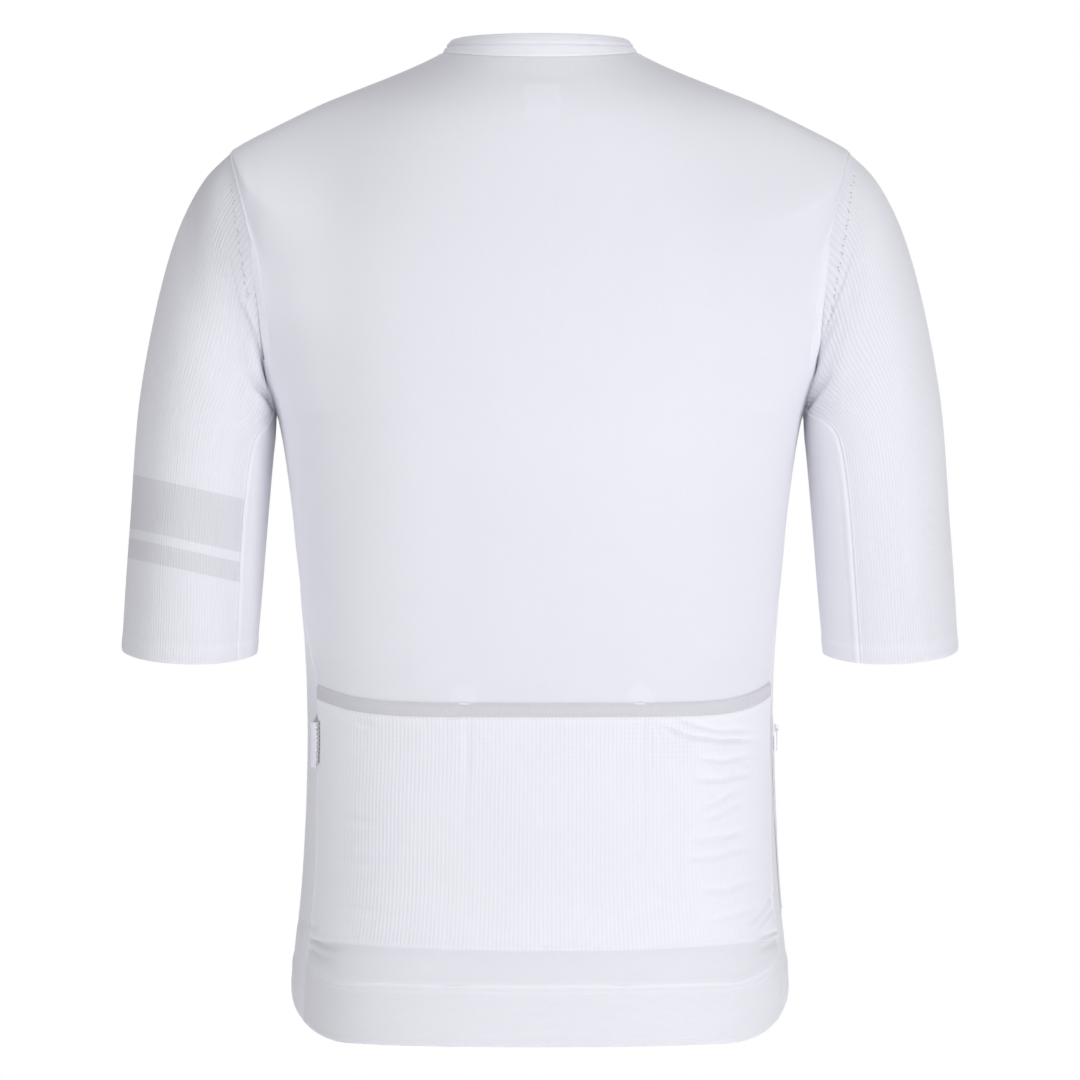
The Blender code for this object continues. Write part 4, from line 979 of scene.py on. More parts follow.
def front_fine(side, columns=80, low_rows=92, mid_rows=40, hole_rows=60, neck_rows=36):
    s = even_ends(columns)
    thetas, levels = [], []

    def centre(level):
        return -np.arccos((ZIP_OPENING / ring["inner_width"](level)) ** (square(level) / 2))

    def add(level_of, outer=None):
        if outer is None:
            a, b = seam_ends(level_of)
            outer = a if side == "left" else math.pi - b
            # beside the hem band the seam runs straight down
            top = TOP_ENDS[0] if side == "left" else math.pi - TOP_ENDS[1]
            if float(level_of(np.array(outer))) < float(hem_level(np.array(outer))) + HEM_BAND:
                outer = top
        inner = -math.pi / 2 + 0.03
        for _ in range(6):
            inner = float(centre(level_of(np.array(inner))))
        theta = inner + (outer - inner) * s
        thetas.append(theta)
        levels.append(level_of(theta))

    for t in np.linspace(0, 1, low_rows + 1)[:-1]:
        add(between(hem_level, strip_level(FLAT_LEVEL), t))
    for t in np.linspace(0, 1, mid_rows + 1)[:-1]:
        add(strip_level(FLAT_LEVEL + (UNDERARM - FLAT_LEVEL) * t))
    hole_angle, hole_level = armhole(-np.radians(180 * (1 - even_ends(hole_rows, 0.3))))
    even = UNDERARM + (SHOULDER_TIP - UNDERARM) * np.linspace(0, 1, hole_rows + 1)
    for k in range(hole_rows + 1):
        inner = float(centre(np.array(even[k])))
        thetas.append(inner + (hole_angle[k] - inner) * s)
        levels.append(hole_level[k] + (even[k] - hole_level[k]) * (1 - s ** 2))
    for level in SHOULDER_TIP * (1 - np.linspace(0, 1, neck_rows + 1)[1:]):
        add(strip_level(level), outer=float(side_angle(level, side)))
    return np.array(thetas), np.array(levels)


# -------------------------------------------------------------------- collar
neck_front = front_fine("left", 80, 4, 4, 4, 4)[0][-1]
start, stop = float(neck_front[0]), math.pi - float(neck_front[0])
turns = start + (stop - start) * np.linspace(0, 1, 361)
for name, low_up, high_up, mat, slot in (("collar_stand", 0.0, 0.5, STAND, "knit"), ("collar_edge", 0.5, 1.0, BINDING, "binding")):
    t = even_ends(16, 0.4)[:, None]
    ups = low_up + (high_up - low_up) * t + 0 * turns[None, :]
    plain, normal = collar(turns[None, :] + 0 * ups, ups), collar_normal(turns[None, :] + 0 * ups, ups)
    u, v = way(plain, 1), way(plain, 0)
    head = v[-1:] - v
    if name == "collar_stand":
        relief = 0.45 * bump_at(v, 0.2, 1.4) + 0.25 * bump_at(v / np.maximum(v[-1:], 1e-6), 0.6, 0.25) - 0.2 * bump_at(head, 0.4, 0.6)
        # painted highlight along the foot of the stand
        tone = 0.07 * bump_at(v, 0.3, 1.3)
    else:
        span = v / np.maximum(v[-1:], 1e-6)
        # the folds in the binding wander a little
        span = span + 0.07 * np.sin(2.3 * ups + 3.7 * turns[None, :]) * np.sin(8.3 * turns[None, :] + 0.6)
        relief = 0.45 * np.sin(np.pi * np.clip(span, 0, 1)) ** 0.6 - 0.22 * bump_at(span, 0.42, 0.07) - 0.2 * bump_at(span, 0.66, 0.07) - 0.2 * bump_at(span, 0.86, 0.06)
        # painted shade in the binding's folds
        tone = -0.06 * bump_at(span, 0.42, 0.07) - 0.05 * bump_at(span, 0.66, 0.07) - 0.05 * bump_at(span, 0.86, 0.05)
    shell(name + "_cloth", plain, normal, COLLAR_WALL, mat, relief=relief, tone=tone, replaces=[name], roll=0.4, cut=False)

# ---------------------------------------------------------------- back, fronts
theta_b, level_b, first_hole_row = back_fine()
plain_b, normal_b = body(theta_b, level_b), body_normal(theta_b, level_b)
u_b, v_b = way(plain_b, 1), way(plain_b, 0)
left_b, right_b = u_b, u_b[:, -1:] - u_b
side_b = np.minimum(left_b, right_b)
foot_b, head_b = v_b, v_b[-1:] - v_b
rows_b = np.arange(plain_b.shape[0])[:, None] + 0 * side_b
in_hole = smoothstep((rows_b - first_hole_row + 3) / 6) * (1 - smoothstep((rows_b - (first_hole_row + 84) + 2) / 4))
# the pressed allowance along each armhole, 5 mm wide, and a fine ridge at the side seams
allowance = plateau(side_b, 5.2, 0.5) * in_hole
side_ridge = bump_at(side_b, 0.0, 1.5) * (1 - in_hole)
collar_ridge = bump_at(head_b, 2.2, 1.2)
hem_ridge = bump_at(foot_b, 0.0, 2.0)
px_b, py_b = seen(plain_b)
# what lies behind the cloth shows as a slightly whiter place: the label and the pockets' round patches
label_b = smoothstep((px_b - 524) / 2) * smoothstep((561 - px_b) / 2) * smoothstep((py_b - 84) / 2) * smoothstep((118 - py_b) / 2) * (normal_b[..., 1] > 0)
label_edge = label_b * (1 - smoothstep((px_b - 526.5) / 2) * smoothstep((558.5 - px_b) / 2) * smoothstep((py_b - 86.5) / 2) * smoothstep((115.5 - py_b) / 2))
patches = np.zeros_like(side_b)
for cx, cy in ((464.5, 698.0), (640.0, 697.5)):
    patches = patches + smoothstep((14.5 - np.hypot(px_b - cx, py_b - cy)) / 1.6)
# the cloth stands up a little towards the armhole's seam, where painted light also lifts it
rise_b = np.exp(-((side_b / 13.0) ** 2)) * in_hole * smoothstep((normal_b[..., 1] - 0.1) / 0.3) * smoothstep((np.where(px_b < 540, 350, 376) - py_b) / 80)
relief_b = 1.5 * rise_b + 0.3 * allowance + 0.3 * side_ridge + 0.25 * collar_ridge + 0.85 * hem_ridge + 0.12 * label_b + 0.1 * label_edge + 0.15 * patches
# painted highlights on the armhole allowance, the side-seam ridges and the hem seam's ridge; the label and the patches
# show through paler
tone_b = 0.05 * allowance + 0.05 * rise_b * smoothstep((380 - py_b) / 120) + 0.06 * side_ridge + 0.022 * label_b + 0.02 * label_edge + 0.03 * patches + 0.07 * hem_ridge
# painted light over the upper back by the wearer's left armhole, where the cloth turns away from the lamps and lies in
# shade
tone_b = tone_b + 0.075 * smoothstep((px_b - 252) / 16) * smoothstep((360 - px_b) / 60) * smoothstep((py_b - 138) / 70) * smoothstep((350 - py_b) / 60)
tone_b = tone_b + 0.09 * np.exp(-(((px_b - 247) / 11) ** 2) - (((py_b - 195) / 30) ** 2)) * (normal_b[..., 1] > 0)
# painted shade along the top, where the shoulders face up; lower down it is a little darker towards the hem, over the
# lower middle and right, and at the lower left corner
tone_b = tone_b - 0.015 * smoothstep((py_b - 925) / 15) - 0.075 * smoothstep((125 - py_b) / 60) - 0.018 * smoothstep((py_b - 430) / 120) * smoothstep((px_b - 420) / 80) - 0.02 * smoothstep((370 - px_b) / 40) * smoothstep((py_b - 900) / 30)
shell("back_panel_cloth", plain_b, normal_b, CLOTH, KNIT, folds=BACK_FOLDS + LOW_FOLDS, relief=relief_b, tone=tone_b, replaces=["back_panel"])

# fronts
for side in ("left", "right"):
    theta_f, level_f = front_fine(side)
    plain_f, normal_f = body(theta_f, level_f), body_normal(theta_f, level_f)
    if side == "right":
        plain_f, normal_f = mirrored(plain_f), mirrored(normal_f)
    u_f, v_f = way(plain_f, 1), way(plain_f, 0)
    zip_side, seam_side = u_f, u_f[:, -1:] - u_f
    count = plain_f.shape[0]
    rows_f = np.arange(count)[:, None] + 0 * u_f
    hole_f = smoothstep((rows_f - 132 + 3) / 6) * (1 - smoothstep((rows_f - 192 + 2) / 4))
    hem_f = v_f
    over_hem = smoothstep((v_f - 36) / 8)
    relief_f = 0.5 * plateau(seam_side, 5.2) * hole_f + (0.3 * bump_at(seam_side, 0.0, 4.0) * (1 - over_hem) + 0.45 * bump_at(seam_side, 0.5, 1.2) * over_hem) * (1 - hole_f)
    relief_f = relief_f + 0.35 * bump_at(zip_side, 5.5, 1.3) + 0.3 * plateau(zip_side, 5.0) + 0.4 * bump_at(v_f[-1:] - v_f, 2.2, 1.2) + (0.45 * plateau(hem_f, 18.0) + 0.3 * bump_at(hem_f, 17.5, 1.0)) * smoothstep((seam_side - 1) / 14)
    # painted highlight along the side seam's ridge and on the armhole allowance; the hem fold and the zip placket are a
    # little paler
    tone_f = 0.02 * plateau(seam_side, 5.2) * hole_f + 0.15 * bump_at(seam_side, 0.5, 1.1) * (1 - hole_f) * over_hem + 0.012 * plateau(hem_f, 18.0) + 0.015 * plateau(zip_side, 5.0)
    if side == "left":
        # a dark spot above the side tab, painted darker and pressed in a little
        px_f, py_f = seen(plain_f)
        tab_dark_spot = smoothstep((1.3 - np.hypot((px_f - 316.4) / 2.6, (py_f - 720.0) / 2.2)) / 0.5) * (normal_f[..., 0] > 0) * (plain_f[..., 1] > 12)
        relief_f, tone_f = relief_f - 0.5 * tab_dark_spot, tone_f - 0.75 * tab_dark_spot
        # painted light lifting the front beside the left side seam, low down
        tone_f = tone_f + 0.05 * smoothstep((46 - seam_side) / 20) * smoothstep((py_f - 730) / 60) * (1 - hole_f)
    shell("front_%s_cloth" % side, plain_f, normal_f, CLOTH, KNIT, folds=FRONT_FOLDS + LOW_FOLDS, relief=relief_f, tone=tone_f, replaces=["front_" + side])

# ---------------------------------------------------------- pockets and band
theta_e, level_e = fine_rows([between(band_low, pocket_mouth, t) for t in np.linspace(0, 1, 13)], even_ends(240, 0.3))
plain_e, normal_e = body(theta_e, level_e), body_normal(theta_e, level_e)
u_e, v_e = way(plain_e, 1), way(plain_e, 0)
px_e, _ = seen(plain_e)
pull_e = sum(np.exp(-(((px_e - at) / 1.2) ** 2)) for at in (464.0, 471.5, 637.5, 644.5))
# painted light along the band's tapered top edge, which would lie in shade, and painted shade over its left end
pocket_band = shell("pocket_band_cloth", plain_e, normal_e, POCKET_WALL + 0.2, ELASTIC, lift=LAYER_GAP + POCKET_WALL + 0.2, folds=BACK_FOLDS + POCKET_FOLDS, relief=-0.2 * pull_e + 0.08 * bump_at(v_e, 0.9, 0.5) - 0.95 * np.exp(-(((v_e[-1:] - v_e) / 1.7) ** 2)), tone=0.09 * np.exp(-(((v_e[-1:] - v_e) / 1.9) ** 2)) - 0.03 * smoothstep((400 - px_e) / 60), replaces=["pocket_band"], roll=0.25, cut=False)

RIB_PITCH = 2.9
POCKET_RIBS = 128        # four columns each
s_p = np.linspace(0, 1, 4 * POCKET_RIBS + 1)
pocket_rows = [between(pocket_foot, band_low, t) for t in even_ends(110, 0.35)]
theta_p, level_p = fine_rows(pocket_rows, np.linspace(0, 1, 301))
run_p = way(body(theta_p, level_p), 1)
# the ribs stand at even distances along every row
theta_p = np.array([np.interp(s_p, run / run[-1], theta) for run, theta in zip(run_p, theta_p)])
level_p = np.array([level_of(theta) for level_of, theta in zip(pocket_rows, theta_p)])
plain_p, normal_p = body(theta_p, level_p), body_normal(theta_p, level_p)
u_p, v_p = way(plain_p, 1), way(plain_p, 0)
px_p, py_p = seen(plain_p)
rib_u = np.broadcast_to(s_p[None, :], u_p.shape) * POCKET_RIBS
rib_v = (v_p[-1:] - v_p) / 3.1
under_band = v_p[-1:] - v_p
near_edge = np.minimum(np.minimum(u_p, u_p[:, -1:] - u_p), np.minimum(v_p, under_band))
# the ribs lie flat at both ends, and stand best in the middle
stand = smoothstep((px_p - 334) / 26) * (1 - 0.7 * smoothstep((px_p - 676) / 30))
ribbing = 0.12 * np.cos(2 * np.pi * rib_u) * (0.12 + 0.88 * stand) * smoothstep((near_edge - 0.6) / 1.5)
openness = (0.12 + 0.88 * smoothstep((46 - under_band) / 36)) * (0.5 + 0.5 * smoothstep((px_p - 500) / 150))
divider = sum(np.exp(-(((px_p - at) / 1.1) ** 2)) for at in (464.0, 471.5, 637.5, 644.5))
# the side tab stands over this corner: a small trough under it, and a painted shadow
tab_trough_and_shadow = smoothstep((3.4 - u_p) / 1.2 if px_p[5, 0] < 540 else (3.4 - (u_p[:, -1:] - u_p)) / 1.2) * smoothstep((py_p - 719) / 3) * smoothstep((765 - py_p) / 3)
relief_p = ribbing - 0.12 * divider * smoothstep((70 - under_band) / 60) + 0.25 * bump_at(v_p, 1.8, 1.2) + 0.15 * bump_at(under_band, 1.5, 1.0) - 0.6 * tab_trough_and_shadow
# painted highlights under the band and along the foot's ridge, and a painted shade line at the foot's edge
tone_p = 0.015 * bump_at(under_band, 2.6, 1.6) + 0.015 * bump_at(v_p, 1.8, 1.2) - 0.06 * bump_at(v_p, 0.2, 0.7) - 0.8 * tab_trough_and_shadow
# the stitched divisions show as a painted highlight with a painted shade line beside it, the side seams as a painted
# highlight
for at in (464.0, 640.5):
    tone_p = tone_p + (0.016 * np.exp(-(((px_p - at) / 1.6) ** 2)) - 0.014 * np.exp(-(((px_p - at - 4.0) / 2.6) ** 2))) * smoothstep((150 - under_band) / 100)
tone_p = tone_p + 0.09 * bump_at(np.minimum(u_p, u_p[:, -1:] - u_p), 0.8, 1.7) * np.where(px_p < 540, smoothstep((py_p - 768) / 8), 1.0)
pocket = shell("pocket_panel_cloth", plain_p, normal_p, POCKET_WALL, POCKET, lift=LAYER_GAP + POCKET_WALL, folds=BACK_FOLDS + LOW_FOLDS + POCKET_FOLDS, relief=relief_p, tone=tone_p, rib=(rib_u, rib_v), band=(0.15 + 0.85 * stand, openness), replaces=["pocket_panel"])

# ------------------------------------------------------------------ hem band
t_h = even_ends(34, 0.55)
s_h = even_ends(200, 0.6)
theta_top = theta_b[0]
theta_h = np.interp(s_h, np.linspace(0, 1, theta_top.size), theta_top[0] + (theta_top[-1] - theta_top[0]) * np.linspace(0, 1, theta_top.size))
theta_h = theta_h[None, :] + 0 * t_h[:, None]
level_h = hem_level(theta_h) + HEM_BAND * t_h[:, None]
plain_h, normal_h = body(theta_h, level_h), body_normal(theta_h, level_h)
u_h, v_h = way(plain_h, 1), way(plain_h, 0)
top_h = v_h[-1:] - v_h
relief_h = 0.55 * bump_at(top_h, 0.0, 2.0) + 0.4 * bump_at(top_h, 4.6, 1.2) + 0.25 * bump_at(v_h, 2.4, 1.2)
px_h, _ = seen(plain_h)
# painted highlights along the two ridges at the band's top, and painted shade over its left end
tone_h = 0.07 * bump_at(top_h, 0.0, 2.0) + 0.03 * bump_at(top_h, 4.6, 1.2) - 0.035 * smoothstep((380 - px_h) / 60)
shell("hem_band_cloth", plain_h, normal_h, HEM_WALL, HEM, lift=0.3, folds=LOW_FOLDS, relief=relief_h, tone=tone_h, replaces=["hem_band"])

# ------------------------------------------------------------------- sleeves
SLEEVE_RIBS = 112        # ribs across the ribbed panel, four columns each


def lean_share(share, along):
    """Near the armhole the ribs lean towards the shoulder point, close on top and wide at the sides."""
    lean = 0.55 * np.exp(-((along / 0.14) ** 1.4))
    return share - lean * np.sin(2 * math.pi * (share - 0.5)) / (2 * math.pi)


for side in ("left", "right"):
    turn_back = Smooth(UNDER_SEAM["along"], UNDER_SEAM[side + "_back"])
    turn_front = Smooth(UNDER_SEAM["along"], UNDER_SEAM[side + "_front"])
    for part, columns, rows in (("sleeve", 4 * SLEEVE_RIBS, 140), ("undersleeve", 48, 140)):
        # finer beside the armhole, where the cap folds under
        along = np.interp(np.linspace(0, 1, rows + 1), [0, 0.03, 0.56, 0.97, 1], [0, 0.006, 0.27, 0.985, 1])[:, None]
        back_edge, front_edge = np.radians(turn_back(along)), np.radians(turn_front(along))
        share = np.linspace(0, 1, columns + 1)[None, :]
        if part == "sleeve":
            phi = -front_edge + (back_edge + front_edge) * lean_share(share, along)
        else:
            phi = back_edge + (2 * math.pi - front_edge - back_edge) * share
        along = along + 0 * phi
        plain, normal = sleeve(phi, along, side), sleeve_normal(phi, along)
        if side == "right":
            plain, normal = mirrored(plain), mirrored(normal)
        # the cuff hangs lowest at the back of the arm and is drawn up at both sides
        down = unit(plain[-1].mean(axis=0) - plain[-12].mean(axis=0))
        end = smoothstep((along - 0.8) / 0.2)
        hang = 5.2 * np.clip(normal[..., 1], 0, 1) ** 1.2 - 2.6 * (1 - np.abs(normal[..., 1])) ** 1.5 + 0.8 * np.clip(-normal[..., 1], 0, 1)
        plain = plain + down * (end * hang)[..., None]
        u, v = way(plain, 1), way(plain, 0)
        across = np.minimum(u, u[:, -1:] - u)
        cuff, cap = v[-1:] - v, v
        near = np.minimum(np.minimum(u, u[:, -1:] - u), np.minimum(v, v[-1:] - v))
        hem_roll = 0.35 * plateau(cuff, 9.5) + 0.3 * bump_at(cuff, 9.8, 1.0) - 0.25 * bump_at(cuff, 0.0, 1.2)
        px, py = seen(plain)
        if part == "sleeve":
            rib_u = np.broadcast_to(share * SLEEVE_RIBS, phi.shape)
            rib_v = v / 3.2
            # flat on the shoulder's cap, standing best beside the armhole and down the back of the arm
            cap_flat = 0.35 + 0.65 * smoothstep((np.abs(np.degrees(phi)) - 20) / 50) * 1.0
            cap_flat = np.maximum(cap_flat, smoothstep((v - 60) / 80))
            high = (0.13 + 0.14 * (1 - smoothstep((v - 25) / 50))) * cap_flat
            relief = high * np.cos(2 * np.pi * rib_u) * smoothstep((near - 0.5) / 1.4) + hem_roll
            relief = relief + 0.3 * bump_at(across, 1.3, 1.0)
            # a few ribs stand apart down the back of the arm
            relief = relief - 0.16 * np.exp(-((np.mod(rib_u + 0.5, 1.0) - 0.5 - 0.5 * np.sign(np.mod(rib_u + 0.5, 1.0) - 0.5)) / 0.16) ** 2) * np.exp(-(((rib_u - 84 - 1.5 * np.sin(v / 23)) / 3.0) ** 2)) * smoothstep((v - 120) / 60)
            # painted highlights along the cuff's fold and the seam ridge
            tone = 0.015 * plateau(cuff, 9.5) + 0.045 * bump_at(cuff, 10.0, 1.6) + 0.03 * bump_at(across, 1.2, 1.0)
            relief, tone = cap_crease(side, px, py, normal, relief, tone)
            # painted shade over the left sleeve's cap, which faces away from the lamps
            if side == "left":
                tone = tone - (0.16 * smoothstep((350 - py) / 120) * smoothstep((px - 175) / 25) + 0.05 * smoothstep((420 - py) / 100) * smoothstep((px - 215) / 30)) * smoothstep((normal[..., 1] + 0.2) / 0.3)
            # darker towards the cuff, a little more on the right sleeve
            tone = tone - 0.018 * smoothstep((v - 200) / 60) - (0.012 * smoothstep((v - 100) / 60) if side == "right" else 0.0)
            band = np.zeros_like(px)
            if side == "left":
                # mm below a level line that falls to the arm's inner side
                band = (py - (475.0 + (px - 135.0) * 0.22)) * PIXEL
            shell("sleeve_%s_cloth" % side, plain, normal, CLOTH, RIB_BAND if side == "left" else RIB, folds=SLEEVE_DRAGS[side], relief=relief, tone=tone, rib=(rib_u, rib_v), band=(band, 0.12 + 0.6 * smoothstep((v - 190) / 90)), replaces=["sleeve_" + side])
        else:
            # a fold of the seam stands up along the under-sleeve panel's edges
            relief = hem_roll + 0.9 * bump_at(across, 2.1, 1.7) - 0.35 * bump_at(across, 5.6, 1.2)
            # painted highlights on the cuff's fold and the standing seam folds, and painted light over the right
            # under-sleeve
            tone = 0.015 * plateau(cuff, 9.5) + 0.045 * bump_at(cuff, 10.0, 1.6) + 0.04 * plateau(across, 4.4) + (0.02 if side == "right" else 0.0)
            shell("undersleeve_%s_cloth" % side, plain, normal, CLOTH, UNDER, folds=SLEEVE_DRAGS[side], relief=relief, tone=tone, replaces=["undersleeve_" + side])


# ------------------------------------------------------------------ stitches
def run_at(name, edge, distance, part=(0.0, 1.0)):
    """A line on a shell's outer face, at a distance in mm from one of its edges."""
    outer, hint, u, v = GRIDS[name]
    far = u
    if edge in ("foot", "head"):
        outer, hint, far = outer.transpose(1, 0, 2), hint.transpose(1, 0, 2), v.T
    if edge in ("right", "head"):
        outer, hint, far = outer[:, ::-1], hint[:, ::-1], (far[:, -1:] - far)[:, ::-1]
    return cut_run(outer, hint, far, distance, part)


def run_down(name, column, part=(0.0, 1.0)):
    """A line on a shell's outer face, where the view shows one column of its picture."""
    outer, hint, _, _ = GRIDS[name]
    px, _ = seen(outer)
    middle = px.shape[1] // 2
    if px[0, middle] > px[0, middle + 1]:
        outer, hint, px = outer[:, ::-1], hint[:, ::-1], px[:, ::-1]
    return cut_run(outer, hint, np.maximum.accumulate(px, axis=1), column, part)


def cut_run(outer, hint, far, at, part):
    count = len(far)
    rows = range(int(part[0] * count), max(int(part[1] * count), int(part[0] * count) + 1))
    points = np.array([[np.interp(at, far[i], outer[i, :, c]) for c in range(3)] for i in rows])
    normals = np.array([[np.interp(at, far[i], hint[i, :, c]) for c in range(3)] for i in rows])
    return points, unit(normals)


# The armhole's allowance is pressed towards the back and lies on it as a band, lightened with a painted highlight, its
# outer edge standing a little over the sleeve's first ribs.
first, last = first_hole_row + 1, first_hole_row + 84
for side in ("left", "right"):
    outer, hint, u, _ = GRIDS["back_panel_cloth"]
    if side == "right":
        outer, hint, u = outer[:, ::-1], hint[:, ::-1], (u[:, -1:] - u)[:, ::-1]

    def at_distance(d):
        return (np.array([[np.interp(d[i - first], u[i], outer[i, :, c]) for c in range(3)] for i in range(first, last)]),
                np.array([[np.interp(d[i - first], u[i], hint[i, :, c]) for c in range(3)] for i in range(first, last)]))

    columns_seen = seen(outer)[0]
    # seven columns of the view wide, whatever way the cloth turns there
    wide = np.array([np.interp(6.6, np.maximum.accumulate(np.abs(columns_seen[i] - columns_seen[i, 0])), u[i]) for i in range(first, last)])
    wide = np.convolve(np.pad(np.clip(wide, 5.0, 13.0), 6, mode="edge"), np.ones(13) / 13, mode="valid")
    wide = wide * (0.45 + 0.55 * smoothstep((np.arange(len(wide)) - 2) / 22))
    inner, up = at_distance(wide)
    further, _ = at_distance(wide + 2.0)
    seam, _ = at_distance(0.0 * wide)
    up = unit(up)
    out_along = unit(inner - further)
    reach = np.linalg.norm(seam - inner, axis=1)
    count = np.arange(len(inner))
    # on the wearer's left the sleeve's fold runs close under its lower part
    ends = smoothstep((count - (27 if side == "left" else 12)) / 20) * smoothstep((len(inner) - 3 - count) / 9)
    w = np.linspace(0, 1, 9)
    strip = inner[:, None] + out_along[:, None] * (w * 1.02)[None, :, None] * reach[:, None, None]
    flat = inner[:, None] + (seam - inner)[:, None] * w[None, :, None]
    # it hangs no more than 2.4 mm over the seam, and closes on it at both ends
    over = np.linalg.norm(strip - flat, axis=-1)
    keep = np.minimum(1.0, 2.4 / np.maximum(over, 1e-6)) * ends[:, None]
    strip = flat + (strip - flat) * keep[..., None]
    swell = 0.16 + 0.22 * np.sin(np.pi * w) ** 0.6
    top = strip + up[:, None] * swell[None, :, None]
    low = flat - up[:, None] * 0.5
    rows, columns = top.shape[:2]
    ij = np.arange(rows * columns).reshape(rows, columns)
    faces = np.stack([ij[:-1, :-1], ij[:-1, 1:], ij[1:, 1:], ij[1:, :-1]], -1).reshape(-1, 4)
    test = np.cross(top[3, 1] - top[3, 0], top[4, 0] - top[3, 0])
    if np.dot(test, up[3]) < 0:
        faces = faces[:, ::-1]
    other = faces[:, ::-1] + rows * columns
    all_faces = faces.tolist() + other.tolist()
    loop = [int(ij[i, j]) for i, j in edge_loop(rows, columns)]
    turned = bool(np.dot(test, up[3]) < 0)
    for k, one in enumerate(loop):
        two = loop[(k + 1) % len(loop)]
        face = [two, one, one + rows * columns, two + rows * columns]
        all_faces.append(face[::-1] if turned else face)
    place = np.concatenate([top.reshape(-1, 3), low.reshape(-1, 3)])
    runs = np.concatenate([[0.0], np.cumsum(np.linalg.norm(np.diff(inner, axis=0), axis=1))])
    cloth = np.stack([np.broadcast_to((w * 9.0)[None, :], (rows, columns)), np.broadcast_to(runs[:, None], (rows, columns))], -1).reshape(-1, 2) * 0.001
    # painted highlight along the band, fading in from its lower end
    shown = 0.05 * smoothstep((count - 4) / 26)
    band_tone = np.tile(np.broadcast_to(shown[:, None], (rows, columns)).ravel(), 2)
    allowance_band = make_mesh("armhole_allowance_" + side, place, all_faces, KNIT, {"cloth": np.concatenate([cloth, cloth])}, band_tone)

STITCHES = {}


def at_steps(points, far, at):
    return np.stack([np.interp(at, far, points[:, c]) for c in range(points.shape[1])], -1)


def stitches(group, run, pitch=2.7, length=1.9, radius=0.19, lift=0.02, zigzag=0.0, shift=0.0):
    points, normals = run
    if shift:
        ahead = unit(np.gradient(points, axis=0))
        points = points + unit(np.cross(normals, ahead)) * shift
    far = np.concatenate([[0.0], np.cumsum(np.linalg.norm(np.diff(points, axis=0), axis=1))])
    count = max(int(far[-1] // pitch), 1)
    at = (np.arange(count) + 0.5) * far[-1] / count
    centre, up = at_steps(points, far, at), unit(at_steps(normals, far, at))
    ahead = unit(at_steps(points, far, at + 0.3) - at_steps(points, far, at - 0.3))
    side = unit(np.cross(up, ahead))
    if zigzag:
        sign = np.where(np.arange(count) % 2, 1.0, -1.0)[:, None]
        ahead = unit(math.cos(zigzag) * ahead + math.sin(zigzag) * side * sign)
        side = unit(np.cross(up, ahead))
    STITCHES.setdefault(group, []).append(threads(centre + up * lift, ahead, side, up, length, radius))


def threads(centre, ahead, side, up, length, radius):
    """Short capsules whose ends dip into the cloth: 12 points each."""
    parts = [centre - ahead * length * 0.5 - up * radius * 1.1]
    for reach in (-0.3, 0.3):
        for k in range(5):
            turn = 2 * math.pi * k / 5 + math.pi / 2
            parts.append(centre + ahead * length * reach + side * radius * math.cos(turn) + up * radius * math.sin(turn))
    parts.append(centre + ahead * length * 0.5 - up * radius * 1.1)
    return np.stack(parts, axis=1)


THREAD_FACES = [(0, 1 + (k + 1) % 5, 1 + k) for k in range(5)]
THREAD_FACES += [(1 + k, 1 + (k + 1) % 5, 6 + (k + 1) % 5, 6 + k) for k in range(5)]
THREAD_FACES += [(11, 6 + k, 6 + (k + 1) % 5) for k in range(5)]


def join_many(name, parts, faces, mat, body=BODY, sharp=70):
    """parts is (count, points of one, 3): one mesh of all of them."""
    count, each = parts.shape[:2]
    all_faces = []
    for k in range(count):
        all_faces += [tuple(n + k * each for n in face) for face in faces]
    obj = make_mesh(name, parts.reshape(-1, 3), all_faces, mat, body=body, sharp=sharp)
    return obj


back = "back_panel_cloth"
low_share = first_hole_row / plain_b.shape[0]
hole_share = (first_hole_row + 84) / plain_b.shape[0]
for edge in ("left", "right"):
    # topstitching in the armhole's allowance, and along the shoulder seams
    stitches("armhole", run_at(back, edge, 4.0, (low_share, hole_share)), radius=0.17)
    stitches("shoulder", run_at(back, edge, 3.0, (hole_share, 1.0)), radius=0.17)
    stitches("side", run_at(back, edge, 2.4, (0.0, low_share)), pitch=2.9, radius=0.15)
for side in ("left", "right"):
    front = "front_%s_cloth" % side
    stitches("front_armhole", run_at(front, "right", 4.0, (132 / 229, 192 / 229)), radius=0.17)
    stitches("front_side", run_at(front, "right", 2.4, (0.0, 132 / 229)), pitch=2.9, radius=0.15)
    stitches("zip_edge", run_at(front, "left", 2.2), radius=0.17)
    stitches("front_hem", run_at(front, "foot", 16.0), radius=0.17)
    stitches("front_neck", run_at(front, "head", 3.0), radius=0.17)
    for part in ("sleeve", "undersleeve"):
        stitches("cuff", run_at("%s_%s_cloth" % (part, side), "head", 8.6), pitch=2.5, radius=0.18)
        stitches("cuff", run_at("%s_%s_cloth" % (part, side), "head", 7.2), pitch=2.5, radius=0.14)
    for edge in ("left", "right"):
        stitches("sleeve_seam", run_at("undersleeve_%s_cloth" % side, edge, 3.6), pitch=2.6, radius=0.16)
stitches("neck", run_at(back, "head", 3.0), radius=0.17)
stitches("hem_top", run_at("hem_band_cloth", "head", 2.7), pitch=2.3, radius=0.2, zigzag=0.5)
stitches("hem_top", run_at("hem_band_cloth", "head", 5.6), pitch=2.5, radius=0.17)
stitches("hem_edge", run_at("hem_band_cloth", "foot", 1.3), pitch=1.5, length=2.0, radius=0.17, zigzag=0.9)
stitches("pocket_foot", run_at("pocket_panel_cloth", "foot", 1.6), pitch=2.5, radius=0.18)
stitches("pocket_foot", run_at("pocket_panel_cloth", "foot", 3.6), pitch=2.5, radius=0.15)
